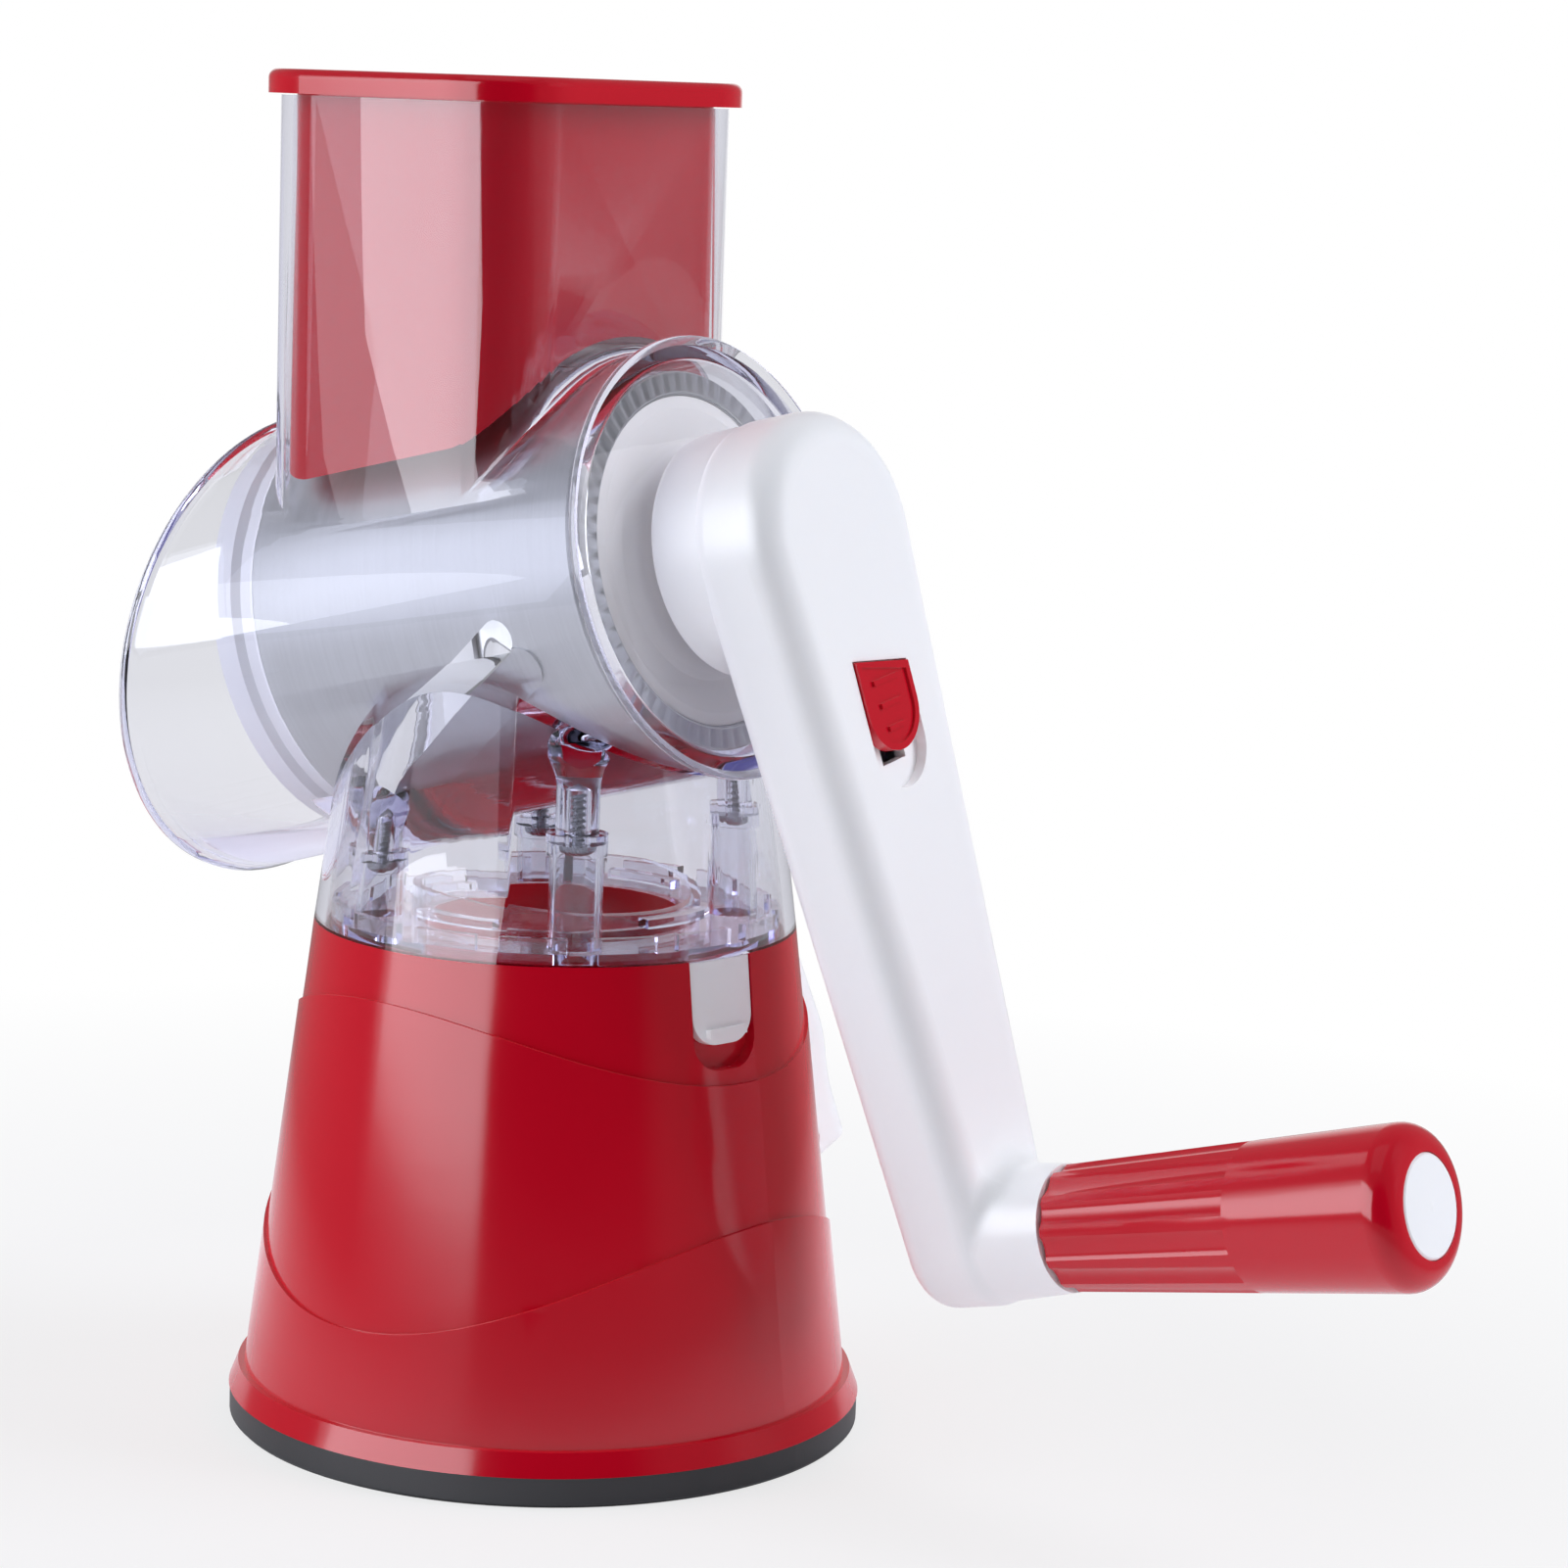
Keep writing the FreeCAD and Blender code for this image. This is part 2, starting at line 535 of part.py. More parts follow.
def draw_round_box(sketch, length, width, corner, x_middle):
    """A rectangle with four equal round corners."""
    hx, hy, rc, cx = float(length) / 2, float(width) / 2, float(corner), float(x_middle)
    quarter = math.pi / 2
    centres = [(cx + hx - rc, hy - rc), (cx - hx + rc, hy - rc), (cx - hx + rc, rc - hy), (cx + hx - rc, rc - hy)]
    first = sketch.GeometryCount
    for i, (x, y) in enumerate(centres):
        circle = Part.Circle(Vector(x, y, 0), Vector(0, 0, 1), rc)
        sketch.addGeometry(Part.ArcOfCircle(circle, i * quarter, (i + 1) * quarter), False)
        start = Vector(x + rc * math.cos((i + 1) * quarter), y + rc * math.sin((i + 1) * quarter), 0)
        nx, ny = centres[(i + 1) % 4]
        end = Vector(nx + rc * math.cos((i + 1) * quarter), ny + rc * math.sin((i + 1) * quarter), 0)
        sketch.addGeometry(Part.LineSegment(start, end), False)
    for i in range(8):
        following = first + (i + 1) % 8
        sketch.addConstraint(Sketcher.Constraint("Tangent", first + i, 2, following, 1))
    half_x, half_y = as_size(length) / 2, as_size(width) / 2
    x_far, x_near = x_middle + half_x - corner, x_middle - half_x + corner
    y_far = half_y - corner
    pin_point(sketch, first, 3, x_far, y_far)
    pin_point(sketch, first + 4, 3, x_near, -y_far)
    for i in (0, 4):
        constraint = sketch.addConstraint(Sketcher.Constraint("Radius", first + i, rc))
        sketch.setExpression(f"Constraints[{constraint}]", as_size(corner).text)


def placed_sketch(body, placement):
    """A sketch held at any place relative to the body's XY plane."""
    sketch = new_sketch(body, "XY_Plane")
    sketch.AttachmentOffset = placement
    return sketch


def round_box_body(label, length, width, corner, x_middle, z_low, z_high):
    body = new_body(label)
    sketch = new_sketch(body, "XY_Plane", z_low)
    draw_round_box(sketch, length, width, corner, x_middle)
    pad(body, sketch, z_high - z_low)
    return body


def turned_tool(label, points, placement=None):
    """A turned solid that only shapes other pieces."""
    body = new_body(label)
    sketch = new_sketch(body, "XZ_Plane")
    draw_outline(sketch, points)
    revolve(body, sketch)
    if placement is not None:
        body.Placement = placement
    return body


def cut(name, base, tool):
    result = doc.addObject("Part::Cut", name)
    result.Base = base
    result.Tool = tool
    doc.recompute()
    return result


def polar(body, feature, count, role="Z_Axis"):
    pattern = body.newObject("PartDesign::PolarPattern", body.Name + "_pattern")
    pattern.Originals = [feature]
    pattern.Axis = (plane_of(body, role), [""])
    pattern.Angle = 360
    pattern.setExpression("Occurrences", as_size(count).text)
    body.Tip = pattern
    doc.recompute()
    return pattern


# Suction foot
turned("suction_pad_rim", [
    (pad_inner, 0), (pad_radius - pad_edge, 0), (pad_radius, pad_edge),
    (pad_radius, pad_height), (pad_inner, pad_height)])

membrane_edge = pad_inner - seat_gap
membrane_crown = membrane_rest + membrane_lift
turned("suction_membrane", [
    (0, membrane_crown), (membrane_edge * 0.55, membrane_rest + membrane_lift * 0.75),
    (membrane_edge, membrane_rest), (membrane_edge, membrane_rest + membrane_sheet),
    (membrane_edge * 0.55, membrane_rest + membrane_lift * 0.75 + membrane_sheet),
    (0, membrane_crown + membrane_sheet)])

foot_z = membrane_crown + membrane_sheet + seat_gap
foot_top = foot_z + foot_sheet
plate_top = pad_height + plate_sheet
cup_radius = foot_radius + seat_gap
cup_ceiling = foot_top + seat_gap
roof_top = cup_ceiling + plate_sheet
guide_radius = stem_radius + running_fit * 2
guide_end = roof_top + guide_length


def base_plate():
    body = new_body("base_plate")
    sketch = new_sketch(body, "XZ_Plane")
    draw_outline(sketch, [
        (cup_radius, pad_height), (plate_radius, pad_height), (plate_radius, plate_top),
        (cup_radius + plate_sheet, plate_top), (cup_radius + plate_sheet, roof_top),
        (guide_radius + guide_wall, roof_top), (guide_radius + guide_wall, guide_end),
        (guide_radius, guide_end), (guide_radius, cup_ceiling), (cup_radius, cup_ceiling)])
    revolve(body, sketch)
    place = column_ring * math.sqrt(0.5)
    for radius, depth in ((screw_radius + seat_gap / 3, plate_sheet), (head_radius + seat_gap / 2, plate_sheet / 2)):
        sketch = new_sketch(body, "XY_Plane", pad_height)
        for sx, sy in ((1, 1), (-1, 1), (-1, -1), (1, -1)):
            draw_circle(sketch, radius, place * sx, place * sy)
        pocket(body, sketch, depth, upward=True)
    finish(body, "base_plate")


def base_screws():
    body = new_body("base_screws")
    place = column_ring * math.sqrt(0.5)
    head = plate_sheet / 2 - seat_gap / 2
    start = pad_height + seat_gap / 4
    for radius, low, length in ((head_radius, start, head), (screw_radius, start, screw_length)):
        sketch = new_sketch(body, "XY_Plane", low)
        for sx, sy in ((1, 1), (-1, 1), (-1, -1), (1, -1)):
            draw_circle(sketch, radius, place * sx, place * sy)
        pad(body, sketch, length)
    finish(body, "base_screws")


base_plate()
base_screws()

# The eccentric stands at 45 degrees above the level at rest and turns to 45 below
rise = eccentricity * math.sqrt(0.5)
window_left = rise - eccentric_radius - window_slack
window_right = eccentricity + eccentric_radius + window_slack
window_low = shaft_height + rise - eccentric_radius - window_slack
window_high = shaft_height + rise + eccentric_radius + window_slack


def suction_stem():
    body = new_body("suction_stem")
    sketch = new_sketch(body, "XZ_Plane")
    draw_outline(sketch, [
        (0, foot_z), (foot_radius, foot_z), (foot_radius, foot_top), (stem_radius, foot_top),
        (stem_radius, window_low - yoke_rim / 2), (0, window_low - yoke_rim / 2)])
    revolve(body, sketch)
    sketch = new_sketch(body, "XZ_Plane")
    draw_box(sketch, window_left - yoke_rim, window_low - yoke_rim, window_right + yoke_rim, window_high + yoke_rim)
    pad(body, sketch, yoke_depth, both_ways=True)
    sketch = new_sketch(body, "XZ_Plane")
    draw_box(sketch, window_left, window_low, window_right, window_high)
    pocket(body, sketch, stem_radius * 4, both_ways=True)
    finish(body, "suction_stem")


suction_stem()
shaft_frame = Placement(Vector(0, 0, shaft_height.value), Rotation(Vector(1, 0, 0), -90))
key_start = lever_inner - seat_gap


def lever_shaft():
    body = new_body("lever_shaft")
    sections = (
        (-(eccentric_length / 2) - stub_length, stub_length, stub_radius, 0),
        (-(eccentric_length / 2), eccentric_length / 2 + journal_start, eccentric_radius, rise),
        (journal_start, key_start - journal_start, journal_radius, 0))
    for low, length, radius, offset in sections:
        sketch = new_sketch(body, "XY_Plane", low)
        draw_circle(sketch, radius, offset, -as_size(offset))
        pad(body, sketch, length)
    sketch = new_sketch(body, "XY_Plane", key_start)
    draw_box(sketch, -(lever_key / 2), -(lever_key / 2), lever_key / 2, lever_key / 2)
    pad(body, sketch, lever_key_length)
    finish(body, "lever_shaft", shaft_frame)


def suction_lever():
    body = new_body("suction_lever")
    sketch = new_sketch(body, "YZ_Plane")
    hub_face = lever_inner + lever_hub
    tip_back = lever_reach - tip_thickness
    draw_outline(sketch, [
        (lever_inner, lever_top), (lever_inner + lever_crown, lever_top - lever_crown_fall),
        (hub_face, shaft_height - face_drop), (hub_face + knee_flare, shaft_height - knee_drop),
        (lever_reach, lever_bottom + tip_height), (tip_back, lever_bottom), (tip_back, lever_bottom + tip_step),
        (lever_inner + hollow_depth, shaft_height - hollow_drop), (lever_inner, shaft_height - knee_drop)])
    pad(body, sketch, lever_width, both_ways=True)
    low, high, tip, face = (float(v) for v in (lever_bottom, lever_top, lever_reach, hub_face))
    knee = face + float(knee_flare)
    round_edges(body, lever_corner * 5, lambda middle, edge: face - 0.1 < middle.y < knee + 0.1 and abs(middle.x) < 0.01)
    round_edges(body, lever_corner / 3, lambda middle, edge: abs(middle.y - tip) < 0.01)
    side = float(lever_width) / 2 - 0.01
    round_edges(body, lever_corner, lambda middle, edge:
                abs(middle.x) > side and abs(edge.tangentAt(edge.FirstParameter).z) < 0.6
                and (middle.z < low + 3 or middle.z > high - 1))
    sketch = new_sketch(body, "XZ_Plane", -lever_inner)
    half_key = lever_key / 2 + key_gap
    draw_box(sketch, -half_key, shaft_height - half_key, half_key, shaft_height + half_key)
    pocket(body, sketch, lever_key_length + key_gap, upward=False)
    finish(body, "suction_lever")


lever_shaft()
suction_lever()


# Red housing
def housing_radius(z):
    """Outer radius of the plain cone above both waves."""
    return float(seam_radius) + float(housing_slope) * (float(seam_height) - float(z))


def above_wave(mean, swing):
    """Everything in a wide ring above one moulded wave line."""
    edges = []
    for radius in (float(column_ring), float(flange_radius) + 8):
        points = []
        for i in range(24):
            angle = 2 * math.pi * i / 24
            lift = float(swing) * math.sin(2 * (angle - math.radians(float(wave_angle))))
            points.append(Vector(radius * math.cos(angle), radius * math.sin(angle), float(mean) + lift))
        curve = Part.BSplineCurve()
        curve.interpolate(points, PeriodicFlag=True)
        edges.append(curve.toShape())
    wave_face = Part.makeRuledSurface(edges[0], edges[1])
    return wave_face.extrude(Vector(0, 0, float(seam_height)))


slope_angle = math.degrees(math.atan(float(housing_slope)))
latch_turn = Rotation(Vector(0, 0, 1), float(latch_angle)) * Rotation(Vector(0, 1, 0), -slope_angle)
latch_radial = Rotation(Vector(0, 0, 1), float(latch_angle)).multVec(Vector(float(seam_radius), 0, 0))
latch_frame = Placement(latch_radial + Vector(0, 0, float(seam_height)), latch_turn)


def tab(depth_low, depth_high, half_width, bottom, top, corner):
    """A plate in the latch's frame with two round lower corners."""
    plate = block(depth_low, -float(half_width), bottom, depth_high, half_width, top)
    lower = [edge for edge in plate.Edges
             if abs(edge.tangentAt(0).x) > 0.9 and edge.CenterOfMass.z < float(bottom) + 0.01]
    return plate.makeFillet(float(corner), lower)


pocket_depth = latch_sheet + seat_gap * 2
lug_back = pocket_depth + pocket_wall + 4.5
lug_low, lug_high = -8.5, -5.5


def base_housing():
    foot = float(pad_height)
    rim = foot + float(flange_height)
    step = float(wave_step)
    top = float(seam_height)
    deck_under = float(deck_top - deck_sheet)
    solid = cone(housing_radius(foot) + 2 * step, float(seam_radius) + 2 * step, foot, top)
    for steps, mean, swing in ((1, low_wave_height, low_wave_swing), (0, high_wave_height, -high_wave_swing)):
        inner = cone(housing_radius(foot - 1) + steps * step, housing_radius(top + 1) + steps * step, foot - 1, top + 1)
        solid = solid.cut(above_wave(mean, swing).cut(inner))
    solid = solid.fuse(cone(flange_radius, flange_radius - flange_taper, foot, rim))
    boss = Part.makeCylinder(float(journal_radius) + float(red_wall) + 0.6, float(key_start) - 36,
                             Vector(0, 36, float(shaft_height)), Vector(0, 1, 0))
    wall = float(red_wall)
    hollow = cone(housing_radius(foot) - wall, housing_radius(deck_under) - wall, foot, deck_under)
    hollow = hollow.fuse(rod(plate_radius + seat_gap / 2, foot, float(plate_top) + 0.2))
    recess = cone(housing_radius(deck_top) - wall, float(seam_radius) - wall, deck_top, top)
    shell = solid.cut(hollow).cut(recess)
    back = float(pocket_depth + pocket_wall)
    pocket_low = -float(latch_drop + latch_travel)
    backing = tab(-back, -1, float(latch_width) / 2 + 3, pocket_low - 2.5, float(deck_top) - top, 4)
    shelf = block(-float(lug_back) - 1, -4, pocket_low - 2.5, -back + 1, 4, pocket_low - 0.5)
    backing = placed(backing.fuse(shelf), latch_frame)
    inside = cone(housing_radius(foot) - 0.5, housing_radius(top) - 0.5, foot, top)
    shell = shell.fuse([backing.common(inside), boss])
    extras = []
    for i in range(4):
        angle = math.radians(45 + 90 * i)
        x, y = float(column_ring) * math.cos(angle), float(column_ring) * math.sin(angle)
        column = rod(column_radius, plate_top, deck_under + 0.5, x, y)
        extras.append(column.cut(rod(screw_radius + running_fit, plate_top, float(plate_top) + 14, x, y)))
    bearing_y = -float(eccentric_length) / 2 - 1.2
    rib = block(-16, bearing_y - 3.2, float(shaft_height) - 8, 16, bearing_y, deck_under + 0.5)
    extras.append(rib)
    ring = rod(deck_rib_radius, float(deck_top) - 0.5, deck_top + deck_rib_height)
    extras.append(ring.cut(rod(deck_rib_radius - 2, float(deck_top) - 1, float(deck_top) + 10)))
    shell = shell.fuse(extras)
    across = Vector(0, 1, 0)
    bore_start = float(journal_start) + 8
    bore = Part.makeCylinder(float(journal_radius + running_fit), float(lever_inner) - bore_start,
                             Vector(0, bore_start, float(shaft_height)), across)
    stub_reach = float(eccentric_length) / 2 + float(stub_length) + 5
    stub = Part.makeCylinder(float(stub_radius + running_fit), stub_reach,
                             Vector(0, -stub_reach, float(shaft_height)), across)
    opening = tab(-float(pocket_depth), 6, float(latch_width) / 2 + float(seat_gap), pocket_low, 3, 6)
    window = block(-back - 2, -3.4, lug_low - float(latch_travel) - 0.4, 0, 3.4, lug_high + 0.4)
    tools = [bore, stub, placed(opening.fuse(window), latch_frame)]
    shape_part("base_housing", shell.cut(tools).removeSplitter())


def release_latch():
    inset = float(seat_gap)
    plate = tab(-float(latch_sheet + seat_gap), 2, float(latch_width) / 2, -float(latch_drop), -inset / 2, 5.7)
    face = cone(housing_radius(0) - inset, housing_radius(seam_height) - inset, 0, seam_height)
    plate = placed(plate, latch_frame).common(face)
    lip = block(-1.5, -float(latch_width) / 2 + 3, -float(latch_drop) + 1.6, 0.9, float(latch_width) / 2 - 3, -float(latch_drop) + 3.2)
    lug = block(-float(lug_back), -3, lug_low, -float(latch_sheet), 3, lug_high)
    extra = placed(lip.fuse(lug), latch_frame)
    shape_part("release_latch", plate.fuse(extra).removeSplitter())


def latch_spring():
    low = -float(latch_drop + latch_travel) - 0.5
    high = lug_low - 0.1
    middle = -float(lug_back) + 2.2
    sleeve = rod(2.2, low, high, middle, 0).cut(rod(1.5, low - 1, high + 1, middle, 0))
    shape_part("latch_spring", sleeve, latch_frame)


base_housing()
release_latch()
latch_spring()


# Barrel, hopper, hood and skirt: one clear moulding on the real object, here in its simple forms
def drum_outer(s):
    """Radius of the steel shell at a place along the axis."""
    return drum_small + (drum_large - drum_small) * (drum_front - s) / (drum_front - drum_back)


def barrel_inner(s):
    return drum_outer(s) + barrel_gap


def barrel_outer(s):
    return drum_outer(s) + barrel_gap + clear_wall


end_wall_inner = end_wall_face - end_wall_sheet
lip_back = end_wall_face - lip_sheet
barrel_solid = turned_tool("barrel_solid", [
    (0, barrel_mouth - 6), (barrel_outer(barrel_mouth - 6), barrel_mouth - 6),
    (barrel_outer(end_wall_face), end_wall_face), (0, end_wall_face)], axis_frame)

barrel_shell = turned_tool("barrel_shell", [
    (barrel_inner(barrel_mouth), barrel_mouth), (barrel_outer(barrel_mouth), barrel_mouth),
    (barrel_outer(lip_back), lip_back), (lip_radius, lip_back), (lip_radius, end_wall_face),
    (post_radius + running_fit, end_wall_face), (post_radius + running_fit, end_wall_inner),
    (barrel_inner(end_wall_inner), end_wall_inner)], axis_frame)

inner_length = hopper_length - clear_wall * 2
inner_width = hopper_width - clear_wall * 2
inner_corner = hopper_corner - clear_wall
hopper_solid = round_box_body(
    "hopper_solid", hopper_length, hopper_width, hopper_corner, hopper_x, hopper_start, hopper_top)
hopper_space = round_box_body(
    "hopper_space", inner_length, inner_width, inner_corner, hopper_x, hopper_start, hopper_top)
finish(cut("drum_barrel_cut", barrel_shell, hopper_space), "drum_barrel")
hopper_ring = cut("hopper_ring", hopper_solid, hopper_space)
finish(cut("feed_hopper_cut", hopper_ring, barrel_solid), "feed_hopper")


mouth_place = axis_frame * Placement(Vector(0, 0, float(barrel_mouth)), Rotation())
rim_place = Placement(Vector(float(hood_x), 0, float(hood_z)), Rotation(Vector(0, 1, 0), 90 + float(hood_lean)))


def hood_loft(body, kind, inset):
    """A cone that runs from the barrel's round mouth to the hood's leaning rim."""
    near = placed_sketch(body, mouth_place)
    draw_circle(near, barrel_outer(barrel_mouth) - inset)
    far = placed_sketch(body, rim_place)
    draw_circle(far, hood_radius - rim_bead - inset)
    doc.recompute()
    loft = body.newObject(kind, body.Name + "_loft")
    loft.Profile = near
    loft.Sections = [far]
    doc.recompute()


hood_solid = new_body("hood_solid")
hood_loft(hood_solid, "PartDesign::AdditiveLoft", 0)


def discharge_hood():
    body = new_body("discharge_hood")
    hood_loft(body, "PartDesign::AdditiveLoft", 0)
    hood_loft(body, "PartDesign::SubtractiveLoft", clear_wall)
    sketch = placed_sketch(body, rim_place)
    draw_circle(sketch, hood_radius)
    draw_circle(sketch, hood_radius - rim_bead - clear_wall)
    pad(body, sketch, rim_width)
    finish(body, "discharge_hood")


discharge_hood()


def skirt_radius(z):
    return seam_radius - skirt_slope * (z - seam_height)


skirt_shell = turned_tool("skirt_shell", [
    (skirt_radius(seam_height) - clear_wall, seam_height), (skirt_radius(seam_height), seam_height),
    (skirt_radius(skirt_top), skirt_top), (skirt_radius(skirt_top) - clear_wall, skirt_top)])
skirt_under_barrel = cut("skirt_under_barrel", skirt_shell, barrel_solid)
finish(cut("clear_skirt_cut", skirt_under_barrel, hood_solid), "clear_skirt")

boss_rows = ((boss_place, high_head), (-boss_place, low_head))


def body_bosses():
    body = new_body("boss_rods")
    for x, head in boss_rows:
        start = head + head_height + tower_web
        sketch = new_sketch(body, "XY_Plane", start)
        for y in (boss_place, -boss_place):
            draw_circle(sketch, boss_radius, x, y)
        pad(body, sketch, axis_height - start)
    for x, head in boss_rows:
        start = head + head_height + tower_web
        sketch = new_sketch(body, "XY_Plane", start)
        for y in (boss_place, -boss_place):
            draw_circle(sketch, screw_radius + running_fit, x, y)
        pocket(body, sketch, screw_length - tower_web + seat_gap, upward=True)
    finish(cut("body_bosses_cut", body, barrel_solid), "body_bosses")


def bayonet_ring():
    body = new_body("bayonet_ring")
    plate_z = ring_plate_z + ring_plate_sheet
    wall_top = ring_plate_z + ring_wall_height
    outer = skirt_radius(wall_top) - clear_wall - seat_gap * 2
    wall_inner = outer - ring_wall_sheet
    collar_outer = ring_plate_inner + ring_collar_sheet
    collar_top = ring_plate_z + ring_collar_height
    sketch = new_sketch(body, "XZ_Plane")
    draw_outline(sketch, [
        (ring_plate_inner, ring_plate_z), (outer, ring_plate_z), (outer, wall_top), (wall_inner, wall_top),
        (wall_inner, plate_z), (collar_outer, plate_z), (collar_outer, collar_top), (ring_plate_inner, collar_top)])
    revolve(body, sketch)
    sketch = new_sketch(body, "XY_Plane", plate_z)
    draw_box(sketch, wall_inner - 0.5, -(notch_width / 2), outer + 1, notch_width / 2)
    polar(body, pocket(body, sketch, ring_wall_height, upward=True), notch_count)
    sketch = new_sketch(body, "XZ_Plane")
    draw_outline(sketch, [
        (0, collar_top), (collar_outer + 1, collar_top - cam_fall), (collar_outer + 1, collar_top + 1), (0, collar_top + 1)])
    pocket(body, sketch, collar_outer * 2 + 2, both_ways=True)
    sketch = new_sketch(body, "XZ_Plane")
    lug_z = ring_plate_z + lug_lift
    draw_box(sketch, collar_outer - 0.5, lug_z, collar_outer + lug_reach, lug_z + lug_sheet)
    polar(body, revolve(body, sketch, angle=LUG_SPAN), lug_count)
    for x, head in boss_rows:
        tower_top = head + head_height + tower_web
        for radius, low in ((tower_radius, ring_plate_z), (collar_radius, tower_top - collar_height)):
            sketch = new_sketch(body, "XY_Plane", low)
            for y in (boss_place, -boss_place):
                draw_circle(sketch, radius, x, y)
            pad(body, sketch, tower_top - low)
    for x, head in boss_rows:
        tower_top = head + head_height + tower_web
        for radius, top in ((tower_bore, head + head_height), (screw_radius + running_fit, tower_top)):
            sketch = new_sketch(body, "XY_Plane", ring_plate_z)
            for y in (boss_place, -boss_place):
                draw_circle(sketch, radius, x, y)
            pocket(body, sketch, top - ring_plate_z, upward=True)
    finish(body, "bayonet_ring")


def body_screws():
    body = new_body("body_screws")
    for x, head in boss_rows:
        for radius, length in ((head_radius, head_height), (screw_radius, head_height + screw_length)):
            sketch = new_sketch(body, "XY_Plane", head)
            for y in (boss_place, -boss_place):
                draw_circle(sketch, radius, x, y)
            pad(body, sketch, length)
    undersides = [float(head) for x, head in boss_rows]
    round_edges(body, head_round, lambda middle, edge: min(abs(middle.z - z) for z in undersides) < 0.01)
    finish(body, "body_screws")


body_bosses()
bayonet_ring()
body_screws()


# Drum
def slot_line():
    """A slot's centre line: a plane square to the drum at its middle, and its length."""
    middle = math.radians(float(slot_angle) + float(slot_twist) / 2)
    radial = Vector(math.cos(middle), math.sin(middle), 0)
    across = Vector(-math.sin(middle), math.cos(middle), 0)
    half_turn = math.radians(float(slot_twist) / 2)
    spread = float(drum_outer((slot_front + slot_back) / 2)) * math.sin(half_turn)
    start = Vector(0, 0, float(slot_front)) - across * spread
    end = Vector(0, 0, float(slot_back)) + across * spread
    along = (end - start).normalize()
    return Placement(start, Rotation(along, radial.cross(along), radial, "ZXY")), (end - start).Length


def straps_round_the_drum(name, width, shift):
    """Flat-sided prisms that leave the drum's axis along each slot."""
    plane, reach = slot_line()
    body = new_body(name)
    sketch = placed_sketch(body, plane * Placement(Vector(0, float(shift), 0), Rotation()))
    draw_strap(sketch, width / 2, width / 2, reach)
    polar(body, pad(body, sketch, drum_large * 1.2), slot_count)
    return body


def drum_shell():
    """A tapered tube; along each slot a land is pressed up, whose edge does the cutting."""
    flange_hole = disc_radius + seat_gap / 3
    tube = turned_tool("drum_tube", [
        (flange_hole, drum_front - drum_sheet), (drum_small - drum_sheet, drum_front - drum_sheet),
        (drum_large - drum_sheet, drum_back), (drum_large, drum_back), (drum_small, drum_front),
        (flange_hole, drum_front)])
    skin = turned_tool("drum_skin", [
        (drum_small - drum_sheet, drum_front), (drum_large - drum_sheet, drum_back),
        (drum_large + land_rise, drum_back), (drum_small + land_rise, drum_front)])
    lands = doc.addObject("Part::Common", "drum_lands")
    lands.Base = skin
    lands.Tool = straps_round_the_drum("land_straps", land_width, (land_width + slot_width) / 2 - 1)
    pressed = doc.addObject("Part::Fuse", "drum_pressed")
    pressed.Base = tube
    pressed.Tool = lands
    doc.recompute()
    slots = straps_round_the_drum("slot_straps", slot_width, 0)
    finish(cut("drum_shell_cut", pressed, slots), "drum_shell", axis_frame)


def drum_end_disc():
    body = new_body("drum_end_disc")
    front = drum_front - 0.2
    back = drum_front - drum_sheet - 0.1
    dish = front - 1.5
    shoulder = post_radius + 3
    sketch = new_sketch(body, "XZ_Plane")
    draw_outline(sketch, [
        (0, back - hub_length), (hub_radius, back - hub_length), (hub_radius, back - disc_sheet),
        (disc_radius + 2.5, back - disc_sheet), (disc_radius + 2.5, back), (disc_radius, back),
        (disc_radius, front), (disc_radius - 2.5, front), (disc_radius - 9, dish), (shoulder, dish),
        (shoulder, end_wall_inner - seat_gap), (post_radius, end_wall_inner - seat_gap),
        (post_radius, end_wall_face + hub_gap), (0, end_wall_face + hub_gap)])
    revolve(body, sketch)
    sketch = new_sketch(body, "XY_Plane", end_wall_face + hub_gap)
    draw_box(sketch, -(post_key / 2), -(post_key / 2), post_key / 2, post_key / 2)
    pad(body, sketch, post_end - end_wall_face - hub_gap)
    sketch = new_sketch(body, "XZ_Plane")
    draw_box(sketch, groove_radius, groove_start, post_radius + 1, groove_start + groove_width)
    revolve(body, sketch, cut=True)
    finish(body, "drum_end_disc", crank_frame)


drum_shell()
drum_end_disc()
sleeve_outer = drum_outer(drum_back + sleeve_length) - drum_sheet - 0.1
turned("drum_open_ring", [
    (ring_inner, drum_back - ring_length), (ring_radius, drum_back - ring_length), (ring_radius, drum_back - 5.5),
    (drum_large - 0.6, drum_back - 4), (drum_large - 0.6, drum_back - 1.2), (drum_large, drum_back - 0.1),
    (sleeve_outer, drum_back - 0.1), (sleeve_outer, drum_back + sleeve_length),
    (ring_inner, drum_back + sleeve_length)], axis_frame)


